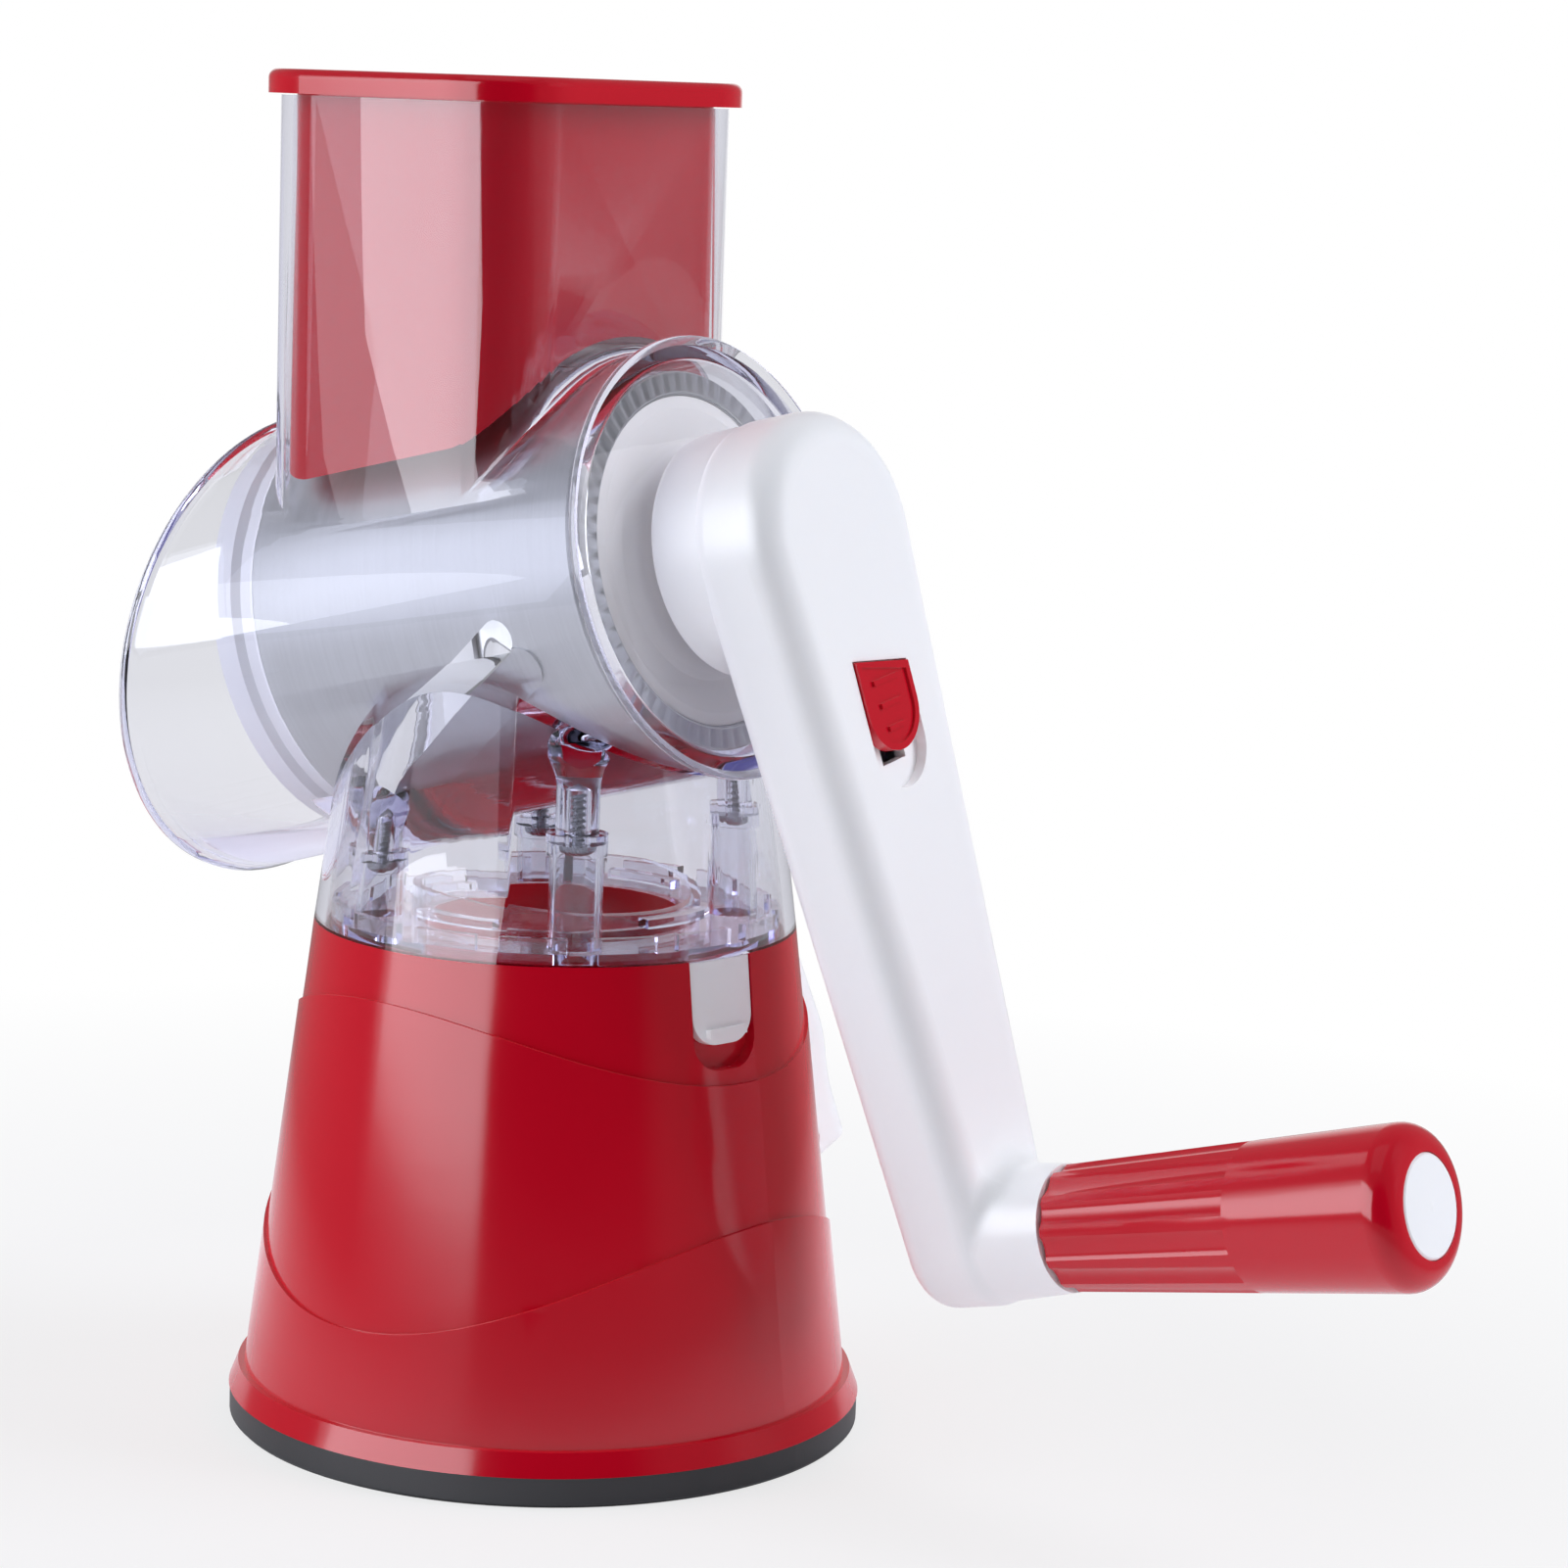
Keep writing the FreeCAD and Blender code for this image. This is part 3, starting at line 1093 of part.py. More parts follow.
# Crank: a hollow arm of two shells
def crank_back_shell():
    body = new_body("crank_back_shell")
    sketch = new_sketch(body, "XY_Plane", arm_back)
    draw_strap(sketch, arm_head, arm_foot, throw)
    pad(body, sketch, arm_parting - arm_back)
    back = float(arm_back)
    round_edges(body, arm_back_round, lambda middle, edge: abs(middle.z - back) < 0.01)
    hub_start = end_wall_face + hub_gap
    sketch = new_sketch(body, "XY_Plane", hub_start)
    draw_circle(sketch, crank_boss)
    pad(body, sketch, arm_parting - hub_start - 1)
    rim = float(hub_start)
    round_edges(body, hub_rim_round, lambda middle, edge: abs(middle.z - rim) < 0.01)
    sketch = new_sketch(body, "XY_Plane", arm_back + crank_wall)
    draw_strap(sketch, arm_head - crank_wall, arm_foot - crank_wall, throw)
    pocket(body, sketch, arm_parting - arm_back, upward=True)
    sketch = new_sketch(body, "XY_Plane", hub_start + crank_wall)
    draw_circle(sketch, crank_boss - crank_wall)
    pocket(body, sketch, arm_parting - hub_start, upward=True)
    half = post_key / 2 + key_gap
    outer = half + socket_wall
    sketch = new_sketch(body, "XY_Plane", hub_start + 1)
    draw_box(sketch, -outer, -outer, outer, outer)
    pad(body, sketch, arm_parting - hub_start - 1.4)
    sketch = new_sketch(body, "XY_Plane", hub_start)
    draw_box(sketch, -half, -half, half, half)
    pocket(body, sketch, arm_parting - hub_start + 1, upward=True)
    sketch = new_sketch(body, "XY_Plane", groove_start - 0.3)
    draw_box(sketch, 0, -(tongue_width / 2 + 0.4), outer + 1, tongue_width / 2 + 0.4)
    pocket(body, sketch, arm_parting - groove_start + 1, upward=True)
    finish(body, "crank_back_shell", crank_frame)


slider_half = slider_width / 2
slider_low = slider_top - slider_slant / 2
slider_high = slider_top + slider_slant / 2
slider_bottom = slider_top + slider_length
recess_half = slider_half + seat_gap
recess_bottom = slider_bottom + slider_travel + seat_gap
slider_face = arm_face + slider_proud
slider_back = slider_face - slider_sheet
recess_floor = slider_back - seat_gap
lug_start = slider_top + 6
lug_length = 6.0
spring_stop = recess_bottom + 1.2


def crank_front_shell():
    body = new_body("crank_front_shell")
    sketch = new_sketch(body, "XY_Plane", arm_parting)
    draw_strap(sketch, arm_head, arm_foot, throw)
    pad(body, sketch, arm_face - arm_parting)
    front = float(arm_face)
    round_edges(body, arm_round, lambda middle, edge: abs(middle.z - front) < 0.01)
    sketch = new_sketch(body, "XY_Plane", arm_parting)
    draw_circle(sketch, arm_foot, throw, 0)
    pad(body, sketch, grip_boss_end - arm_parting, end_growth=grip_boss_radius - arm_foot)
    reach = float(throw)
    round_edges(body, foot_blend, lambda middle, edge:
                abs(middle.z - front) < 0.01 and abs(math.hypot(middle.x - reach, middle.y) - 13.2) < 0.5)
    sketch = new_sketch(body, "XY_Plane", arm_parting)
    draw_strap(sketch, arm_head - crank_wall, arm_foot - crank_wall, throw)
    pocket(body, sketch, arm_face - crank_wall - arm_parting, upward=True)
    sketch = new_sketch(body, "XY_Plane", arm_parting)
    draw_circle(sketch, spindle_radius + crank_wall, throw, 0)
    pad(body, sketch, arm_face - crank_wall / 2 - arm_parting)
    sketch = new_sketch(body, "XY_Plane", arm_parting)
    draw_circle(sketch, spindle_radius + running_fit, throw, 0)
    pocket(body, sketch, grip_boss_end - arm_parting + 1, upward=True)
    sketch = new_sketch(body, "XY_Plane", recess_floor - crank_wall)
    draw_tongue(sketch, slider_low - crank_wall, slider_high - crank_wall, recess_bottom + crank_wall,
                recess_half + crank_wall)
    pad(body, sketch, arm_face - crank_wall / 2 - recess_floor + crank_wall)
    sketch = new_sketch(body, "XY_Plane", arm_parting + 1)
    draw_box(sketch, spring_stop, -6, spring_stop + 2, 6)
    pad(body, sketch, recess_floor - arm_parting - 1)
    sketch = new_sketch(body, "XY_Plane", recess_floor)
    draw_tongue(sketch, slider_low - seat_gap, slider_high - seat_gap, recess_bottom, recess_half)
    pocket(body, sketch, arm_face - recess_floor + 1, upward=True)
    sketch = new_sketch(body, "XY_Plane", recess_floor - crank_wall - 1)
    draw_box(sketch, lug_start - 0.4, -(tongue_width / 2 + 0.4), lug_start + lug_length + slider_travel + 0.4, tongue_width / 2 + 0.4)
    pocket(body, sketch, crank_wall + 2, upward=True)
    finish(body, "crank_front_shell", crank_frame)


def lock_slider():
    body = new_body("lock_slider")
    sketch = new_sketch(body, "XY_Plane", slider_back)
    draw_tongue(sketch, slider_low, slider_high, slider_bottom, slider_half)
    pad(body, sketch, slider_sheet)
    sketch = new_sketch(body, "XY_Plane", slider_face - border_height)
    draw_tongue(sketch, slider_low + slider_border, slider_high + slider_border, slider_bottom - slider_border,
                slider_half - slider_border)
    pocket(body, sketch, border_height * 2, upward=True)
    for i in range(int(float(mark_count))):
        half_mark = mark_reach - mark_shortening * i
        start = slider_high + slider_border + mark_pitch * i
        sketch = new_sketch(body, "XY_Plane", slider_face - border_height * 1.5)
        draw_box(sketch, start, -half_mark, start + mark_width, half_mark)
        pad(body, sketch, border_height * 1.5)
    tongue_z = groove_start + (groove_width - tongue_sheet) / 2
    sketch = new_sketch(body, "XY_Plane", tongue_z)
    draw_box(sketch, lug_start, -(tongue_width / 2), lug_start + lug_length, tongue_width / 2)
    pad(body, sketch, slider_back - tongue_z + 0.5)
    sketch = new_sketch(body, "XY_Plane", tongue_z)
    draw_box(sketch, groove_radius + seat_gap, -(tongue_width / 2), lug_start + 1, tongue_width / 2)
    pad(body, sketch, tongue_sheet)
    finish(body, "lock_slider", crank_frame)


def slider_spring():
    low = float(lug_start) + lug_length + 0.1
    high = float(spring_stop) - 0.1
    sleeve = rod(2.4, low, high).cut(rod(1.7, low - 1, high + 1))
    level = float(arm_parting) + 5
    turn = Rotation(Vector(0, 1, 0), 90)
    shape_part("slider_spring", sleeve, crank_frame * Placement(Vector(0, 0, level), turn))


crank_back_shell()
crank_front_shell()
lock_slider()
slider_spring()

# Grip on its spindle
cap_seat = grip_end - cap_sheet - 0.3
head_start = cap_seat - 0.3 - spindle_head_height
bore_radius = spindle_radius + running_fit * 2
turned("grip_spindle", [
    (0, grip_boss_end - spindle_seat - 8), (spindle_radius, grip_boss_end - spindle_seat - 8),
    (spindle_radius, head_start), (spindle_head, head_start), (spindle_head, head_start + spindle_head_height),
    (0, head_start + spindle_head_height)], grip_frame)


def grip():
    body = new_body("grip")
    sketch = new_sketch(body, "XZ_Plane")
    draw_outline(sketch, [
        (bore_radius, grip_start), (grip_small, grip_start), (grip_large, grip_end - grip_round),
        (grip_large, grip_end), (cap_radius + 0.1, grip_end), (cap_radius + 0.1, cap_seat), (spindle_head + 0.4, cap_seat),
        (spindle_head + 0.4, head_start - 0.3), (bore_radius, head_start - 0.3)])
    revolve(body, sketch)
    end = float(grip_end)
    wide = float(grip_large)
    round_edges(body, grip_round - 0.2, lambda middle, edge:
                abs(middle.z - end) < 0.01 and math.hypot(middle.x, middle.y) > wide - 0.1)
    slope = math.degrees(math.atan(float(grip_large - grip_small) / float(grip_end - grip_round - grip_start)))
    place = Vector(float(grip_small + flute_radius - flute_depth), 0, float(grip_start) - 0.5)
    sketch = placed_sketch(body, Placement(place, Rotation(Vector(0, 1, 0), slope)))
    draw_circle(sketch, flute_radius)
    flute = pocket(body, sketch, flute_length, upward=True)
    polar(body, flute, flute_count)
    finish(body, "grip", grip_frame)


grip()
turned("grip_end_cap", [
    (0, grip_end - cap_sheet), (cap_radius, grip_end - cap_sheet), (cap_radius, grip_end - 0.3),
    (cap_radius - 0.5, grip_end + 0.1), (0, grip_end + 0.3)], grip_frame)

# Pusher
pusher_length = inner_length - pusher_gap * 2
pusher_width = inner_width - pusher_gap * 2
pusher_corner = inner_corner - pusher_gap
pusher_top = hopper_top + seat_gap


def axis_cylinder(name, radius):
    cylinder = doc.addObject("Part::Cylinder", name)
    cylinder.setExpression("Radius", as_size(radius).text)
    reach = (hopper_length + hopper_width) / 2 - hopper_x
    cylinder.setExpression("Height", (reach * 2).text)
    cylinder.Placement = axis_frame * Placement(Vector(0, 0, -float(reach)), Rotation())
    return cylinder


pusher_solid = round_box_body(
    "pusher_solid", pusher_length, pusher_width, pusher_corner, hopper_x, hopper_start, pusher_top)
pusher_space = round_box_body(
    "pusher_space", pusher_length - pusher_wall * 2, pusher_width - pusher_wall * 2,
    pusher_corner - pusher_wall, hopper_x, hopper_start, pusher_top)
hollow = cut("pusher_hollow", pusher_space, axis_cylinder("pusher_floor", pusher_radius + pusher_wall))
pusher_cut = cut("pusher_cut", pusher_solid, axis_cylinder("pusher_underside", pusher_radius))
finish(cut("pusher_body_cut", pusher_cut, hollow), "pusher_body")


def pusher_cap():
    body = round_box_body(
        "pusher_cap", hopper_length + cap_overhang * 2, hopper_width + cap_overhang * 2,
        hopper_corner + cap_overhang, hopper_x, pusher_top, pusher_top + cap_height)
    top = float(pusher_top + cap_height)
    round_edges(body, cap_round, lambda middle, edge: abs(middle.z - top) < 0.01)
    finish(body, "pusher_cap")


pusher_cap()

doc.recompute()
faults = [item.Name for item in doc.Objects if "Invalid" in item.State or "Error" in item.State]
for item in sub_parts:
    if item.Shape.isNull() or not item.Shape.isValid():
        faults.append(item.Label)
if faults:
    raise RuntimeError(f"these objects failed: {faults}")

os.makedirs("parts", exist_ok=True)
for item in sub_parts:
    item.Shape.exportStep(os.path.join("parts", item.Label + ".step"))
    print(item.Label, "solids", len(item.Shape.Solids), "volume", round(item.Shape.Volume))
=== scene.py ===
# %% [markdown]
# A hand-cranked vegetable shredder
#
# The shredder stands on a red suction foot. A clear moulding carries a steel slicing drum, and a white
# crank turns it. This notebook dresses a measured model of it: each cell takes one piece of the real
# object, says what it is, and makes its shape or its finish with Blender's own tools.

# %% Load the measured model
import json
import math

import bpy
from mathutils import Matrix, Vector


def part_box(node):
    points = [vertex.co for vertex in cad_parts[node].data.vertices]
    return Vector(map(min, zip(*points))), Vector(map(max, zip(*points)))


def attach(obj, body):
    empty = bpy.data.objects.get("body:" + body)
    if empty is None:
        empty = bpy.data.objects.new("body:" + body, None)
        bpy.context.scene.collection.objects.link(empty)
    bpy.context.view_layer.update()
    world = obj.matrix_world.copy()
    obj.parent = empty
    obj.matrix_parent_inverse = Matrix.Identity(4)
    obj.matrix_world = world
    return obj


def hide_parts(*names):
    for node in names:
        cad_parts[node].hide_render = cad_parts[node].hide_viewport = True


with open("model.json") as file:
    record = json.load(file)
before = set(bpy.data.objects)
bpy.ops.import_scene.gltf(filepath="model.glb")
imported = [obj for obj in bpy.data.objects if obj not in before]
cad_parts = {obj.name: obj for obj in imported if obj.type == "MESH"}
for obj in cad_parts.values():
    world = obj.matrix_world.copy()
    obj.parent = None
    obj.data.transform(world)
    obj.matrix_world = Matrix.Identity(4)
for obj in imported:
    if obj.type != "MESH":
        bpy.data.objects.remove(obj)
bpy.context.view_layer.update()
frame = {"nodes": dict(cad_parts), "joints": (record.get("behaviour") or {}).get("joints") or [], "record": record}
nodes = frame["nodes"]
joints = {joint["name"]: joint for joint in frame["joints"]}
print("measured pieces:", len(nodes))

# %% [markdown]
# Colours and shader nodes
#
# A colour picked on a screen is an sRGB hex value, but a shader works with linear light. One function
# turns the first into the second. Another adds a shader node, sets it up and links it in one line, so
# that a material reads from top to bottom like a recipe.


# %% Two helpers for materials
def linear(hex_colour):
    """Turn an sRGB hex colour into linear light, by the formula of the sRGB standard."""
    parts = [int(hex_colour[i:i + 2], 16) / 255 for i in (1, 3, 5)]
    return tuple(p / 12.92 if p <= 0.04045 else ((p + 0.055) / 1.055) ** 2.4 for p in parts) + (1.0,)


def add_node(tree, kind, inputs=None, **settings):
    """Add a shader node, set its options, and link or set its inputs."""
    node = tree.nodes.new(kind)
    for name, value in settings.items():
        setattr(node, name, value)
    for name, value in (inputs or {}).items():
        if isinstance(value, bpy.types.NodeSocket):
            tree.links.new(value, node.inputs[name])
        else:
            node.inputs[name].default_value = value
    return node


def new_material(name):
    """An empty material: its tree, its output, and a position in metres on the object."""
    material = bpy.data.materials.new(name)
    material.use_nodes = True
    tree = material.node_tree
    tree.nodes.clear()
    output = add_node(tree, "ShaderNodeOutputMaterial")
    place = add_node(tree, "ShaderNodeTexCoord").outputs["Object"]
    return material, tree, output, place


MM = 0.001
print("white as light:", [round(part, 3) for part in linear("#EDEFF2")])

# %% [markdown]
# Gloss-moulded ABS, red
#
# The foot, the grip, the pusher and the lock button are ABS plastic moulded in a polished steel tool.
# ABS has an IOR of 1.50 to 1.54. A polished tool leaves a gloss with the faintest waviness, called orange
# peel, so the bump is very low and a few millimetres wide, and the pigment varies hardly at all.


# %% Red ABS
# Widths of the pigment's clouds and of the orange peel's waves, and the peel's depth
RED_CLOUD, PEEL_WAVE, PEEL_DEPTH = 45 * MM, 6 * MM, 0.2 * MM


def make_red_abs():
    material, tree, output, place = new_material("gloss_moulded_abs_red")
    cloud = add_node(tree, "ShaderNodeTexNoise", {"Vector": place, "Scale": 1 / RED_CLOUD, "Detail": 2.0})
    pigment = add_node(tree, "ShaderNodeMix", {
        "Factor": cloud.outputs["Fac"], "A": linear("#B4031C"), "B": linear("#BC041F")}, data_type="RGBA")
    peel = add_node(tree, "ShaderNodeTexNoise", {"Vector": place, "Scale": 1 / PEEL_WAVE, "Detail": 1.0})
    gloss = add_node(tree, "ShaderNodeMapRange", {
        "Value": cloud.outputs["Fac"], "To Min": 0.10, "To Max": 0.16})
    bump = add_node(tree, "ShaderNodeBump", {
        "Height": peel.outputs["Fac"], "Strength": 0.04, "Distance": PEEL_DEPTH})
    surface = add_node(tree, "ShaderNodeBsdfPrincipled", {
        "Base Color": pigment.outputs["Result"], "Roughness": gloss.outputs["Result"], "IOR": 1.50,
        "Normal": bump.outputs["Normal"]})
    tree.links.new(surface.outputs["BSDF"], output.inputs["Surface"])
    return material


red_abs = make_red_abs()

# %% [markdown]
# Satin-moulded ABS, white
#
# The crank and the latch come from a tool with a finer, softer finish, so light spreads more. A white
# plastic also lets a little light in, which rounds its shadows off: that is subsurface scattering, less
# than a millimetre deep.


# %% White ABS
WHITE_CLOUD, SATIN_GRAIN, SATIN_DEPTH = 60 * MM, 0.6 * MM, 0.05 * MM
# How far red, green and blue light spread inside the plastic
LIGHT_SPREAD = (0.9 * MM, 0.8 * MM, 0.7 * MM)


def make_white_abs(name, dark, light):
    material, tree, output, place = new_material(name)
    cloud = add_node(tree, "ShaderNodeTexNoise", {"Vector": place, "Scale": 1 / WHITE_CLOUD, "Detail": 2.0})
    pigment = add_node(tree, "ShaderNodeMix", {
        "Factor": cloud.outputs["Fac"], "A": linear(dark), "B": linear(light)}, data_type="RGBA")
    grain = add_node(tree, "ShaderNodeTexNoise", {"Vector": place, "Scale": 1 / SATIN_GRAIN, "Detail": 2.0})
    bump = add_node(tree, "ShaderNodeBump", {
        "Height": grain.outputs["Fac"], "Strength": 0.06, "Distance": SATIN_DEPTH})
    gloss = add_node(tree, "ShaderNodeMapRange", {
        "Value": grain.outputs["Fac"], "To Min": 0.28, "To Max": 0.36})
    surface = add_node(tree, "ShaderNodeBsdfPrincipled", {
        "Base Color": pigment.outputs["Result"], "Roughness": gloss.outputs["Result"], "IOR": 1.53,
        "Subsurface Weight": 0.12, "Subsurface Radius": LIGHT_SPREAD,
        "Subsurface Scale": 1.0, "Normal": bump.outputs["Normal"]})
    tree.links.new(surface.outputs["BSDF"], output.inputs["Surface"])
    return material


white_abs = make_white_abs("satin_moulded_abs_white", "#E6E7EA", "#ECECEE")
# The pieces in the inner_abs slot get a lighter, warmer copy of the white ABS: painted light, which makes up for
# the shade and the violet cast behind the clear walls
inner_abs = make_white_abs("white_abs_lightened_for_shade", "#EBEAE9", "#F2F1F0")
# The disc that meets the food gets a still lighter, warmer copy of the white ABS: painted light, which makes up
# for the shade and the violet cast that it takes behind the clear walls
disc_white_lightened = make_white_abs("disc_abs_lightened_for_shade", "#F4F0E6", "#FBF8F0")

# %% [markdown]
# Clear styrene-acrylonitrile
#
# The body is moulded in clear SAN, which bends light strongly (IOR 1.57). It has a faint violet cast that
# only shows where light travels far inside the wall, as in the rims and edges. That is absorption through
# the thickness, so it belongs to the volume, not to the skin. Light Path lets lamp light and soft light
# pass straight through the walls, because a path tracer would otherwise leave the inside too dark.


# %% Clear SAN
# A ray that was thrown back more often than this is trapped between two walls, and passes straight out
MOST_REFLECTIONS = 2.5
# Width and depth of the waves that the melt's flow leaves in the skin
FLOW_WAVE, FLOW_DEPTH = 14 * MM, 0.1 * MM


def trapped_ray(tree, rays):
    """1 for a ray that bounces about inside a wall: it has met far more surfaces than it has crossed."""
    thrown_back = add_node(tree, "ShaderNodeMath", {
        0: rays.outputs["Ray Depth"], 1: rays.outputs["Transmission Depth"]}, operation="SUBTRACT")
    return add_node(tree, "ShaderNodeMath", {
        0: thrown_back.outputs["Value"], 1: MOST_REFLECTIONS}, operation="GREATER_THAN")


def make_clear_san():
    material, tree, output, place = new_material("clear_moulded_san")
    flow = add_node(tree, "ShaderNodeTexNoise", {"Vector": place, "Scale": 1 / FLOW_WAVE, "Detail": 1.0})
    bump = add_node(tree, "ShaderNodeBump", {
        "Height": flow.outputs["Fac"], "Strength": 0.03, "Distance": FLOW_DEPTH})
    surface = add_node(tree, "ShaderNodeBsdfPrincipled", {
        "Base Color": linear("#F6F7FB"), "Roughness": 0.0, "IOR": 1.57,
        "Transmission Weight": 1.0, "Normal": bump.outputs["Normal"]})
    passing = add_node(tree, "ShaderNodeBsdfTransparent", {"Color": linear("#FDFDFF")})
    rays = add_node(tree, "ShaderNodeLightPath")
    through = add_node(tree, "ShaderNodeMath", {
        0: rays.outputs["Is Shadow Ray"], 1: rays.outputs["Is Diffuse Ray"]}, operation="MAXIMUM")
    trapped = trapped_ray(tree, rays)
    straight = add_node(tree, "ShaderNodeMath", {
        0: through.outputs["Value"], 1: trapped.outputs["Value"]}, operation="MAXIMUM")
    skin = add_node(tree, "ShaderNodeMixShader", {
        "Fac": straight.outputs["Value"], 1: surface.outputs["BSDF"], 2: passing.outputs["BSDF"]})
    cast = add_node(tree, "ShaderNodeVolumeAbsorption", {"Color": linear("#9B98D2"), "Density": 28.0})
    tree.links.new(skin.outputs["Shader"], output.inputs["Surface"])
    tree.links.new(cast.outputs["Volume"], output.inputs["Volume"])
    return material


clear_san = make_clear_san()

# %% [markdown]
# Rolled stainless steel
#
# The drum is rolled from thin stainless sheet. Rolling and polishing leave fine lines round the drum,
# which spread each highlight into a soft band. The lines are noise squeezed along the drum's axis: they
# change the tone and the gloss a little, and tilt the surface a very little.

# %% The drum's axis and the steel
# How often a line changes along its own length, per metre; how far the gloss varies; how deep the lines are
LINE_CHANGES = 30.0
GLOSS_SPREAD = 0.05
LINE_DEPTH = 0.02 * MM
crank_axis = Vector(joints["crank_turn"]["axis"]).normalized()
crank_point = Vector(joints["crank_turn"]["pos_m"])
axis_turn = crank_axis.to_track_quat("Z", "Y").inverted().to_euler()


def make_rolled_steel(name, tint, bright, rough, line_width):
    material, tree, output, place = new_material(name)
    aligned = add_node(tree, "ShaderNodeMapping", {
        "Vector": place, "Rotation": axis_turn}, vector_type="POINT")
    squeezed = add_node(tree, "ShaderNodeMapping", {
        "Vector": aligned.outputs["Vector"],
        "Scale": (LINE_CHANGES, LINE_CHANGES, 1 / line_width)}, vector_type="POINT")
    lines = add_node(tree, "ShaderNodeTexNoise", {
        "Vector": squeezed.outputs["Vector"], "Scale": 1.0, "Detail": 4.0})
    tone = add_node(tree, "ShaderNodeMix", {
        "Factor": lines.outputs["Fac"], "A": linear(tint), "B": linear(bright)}, data_type="RGBA")
    gloss = add_node(tree, "ShaderNodeMapRange", {
        "Value": lines.outputs["Fac"], "To Min": rough - GLOSS_SPREAD, "To Max": rough + GLOSS_SPREAD})
    bump = add_node(tree, "ShaderNodeBump", {
        "Height": lines.outputs["Fac"], "Strength": 0.08, "Distance": LINE_DEPTH})
    surface = add_node(tree, "ShaderNodeBsdfPrincipled", {
        "Base Color": tone.outputs["Result"], "Metallic": 1.0, "Roughness": gloss.outputs["Result"],
        "Normal": bump.outputs["Normal"]})
    tree.links.new(surface.outputs["BSDF"], output.inputs["Surface"])
    return material


drum_steel = make_rolled_steel(
    "rolled_stainless_steel", "#BCBDBF", "#CCCDCF", rough=0.36, line_width=0.5 * MM)
screw_steel = make_rolled_steel(
    "nickel_plated_steel", "#8C8D91", "#A6A7AB", rough=0.26, line_width=0.3 * MM)
spring_steel = make_rolled_steel(
    "drawn_spring_steel", "#A9ACB2", "#C8CAD0", rough=0.30, line_width=0.3 * MM)

# %% [markdown]
# Moulded rubber
#
# The suction pad is nitrile rubber. It has a matt skin with a fine grain, which takes the gloss away but
# leaves a soft grey sheen where light grazes it.


# %% Black rubber
RUBBER_GRAIN, RUBBER_DEPTH, DUST_CLOUD = 0.8 * MM, 0.1 * MM, 20 * MM


def make_pad_rubber():
    material, tree, output, place = new_material("moulded_nitrile_rubber")
    grain = add_node(tree, "ShaderNodeTexNoise", {"Vector": place, "Scale": 1 / RUBBER_GRAIN, "Detail": 3.0})
    dust = add_node(tree, "ShaderNodeTexNoise", {"Vector": place, "Scale": 1 / DUST_CLOUD, "Detail": 3.0})
    tone = add_node(tree, "ShaderNodeMix", {
        "Factor": dust.outputs["Fac"], "A": linear("#18191C"), "B": linear("#26272B")}, data_type="RGBA")
    bump = add_node(tree, "ShaderNodeBump", {
        "Height": grain.outputs["Fac"], "Strength": 0.15, "Distance": RUBBER_DEPTH})
    surface = add_node(tree, "ShaderNodeBsdfPrincipled", {
        "Base Color": tone.outputs["Result"], "Roughness": 0.48, "IOR": 1.52,
        "Normal": bump.outputs["Normal"]})
    tree.links.new(surface.outputs["BSDF"], output.inputs["Surface"])
    return material


pad_rubber = make_pad_rubber()

# %% [markdown]
# Give each measured piece its finish
#
# A measured piece that already has its right shape keeps it, and only gets a material in its slot.

# %% Materials for the measured pieces
finish_of = {
    "pad_rubber": pad_rubber, "red_abs": red_abs, "white_abs": white_abs, "inner_abs": inner_abs,
    "clear_as": clear_san, "steel": drum_steel, "screw_steel": screw_steel, "spring_steel": spring_steel}
slot_of = {part["node"]: part["material_slot"] for part in frame["record"]["subparts"]}
for name, piece in nodes.items():
    piece.data.materials.clear()
    piece.data.materials.append(finish_of[slot_of[name]])
# The end disc takes the lightened copy of the white ABS: painted light against the shade behind the clear walls
nodes["drum_end_disc"].data.materials[0] = disc_white_lightened
print("finished pieces:", len(slot_of))

# %% [markdown]
# Tools of the trade
#
# Most of the clear moulding is turned or straight. One helper spins an outline about an axis, as a lathe
# would, another rounds the upright edges of a block, and a third joins or cuts two closed shapes. Each
# works the way a hand does it in the viewport: deselect everything, add the shape, select, and call the
# operator. At the end the place is applied, so that every finished piece sits at the origin with its
# place in its mesh.

# %% Helpers for blanks
# Steps round a turned piece, and the distance under which two points are the same
ROUND = 128
SAME_POINT = 0.005 * MM


def lone(piece):
    """Make this the only selected object, and the active one."""
    bpy.ops.object.select_all(action="DESELECT")
    piece.select_set(True)
    bpy.context.view_layer.objects.active = piece


def wire(name, points, edges):
    """A new object of points and edges alone, selected and ready for edit mode."""
    mesh = bpy.data.meshes.new(name)
    mesh.from_pydata(points, edges, [])
    piece = bpy.data.objects.new(name, mesh)
    bpy.context.scene.collection.objects.link(piece)
    lone(piece)
    return piece


def profile_wire(name, outline):
    """An open line through (radius, height) points, upright beside the Z axis."""
    return wire(name, [(radius, 0, height) for radius, height in outline],
                [(i, i + 1) for i in range(len(outline) - 1)])


def faces_outward():
    """Point every face outward, and leave edit mode."""
    bpy.ops.mesh.select_all(action="SELECT")
    bpy.ops.mesh.normals_make_consistent(inside=False)
    bpy.ops.object.mode_set(mode="OBJECT")


def settle(piece, place):
    """Put a piece at a place, and move that place into its mesh."""
    lone(piece)
    piece.matrix_world = place
    bpy.ops.object.transform_apply(location=True, rotation=True, scale=True)


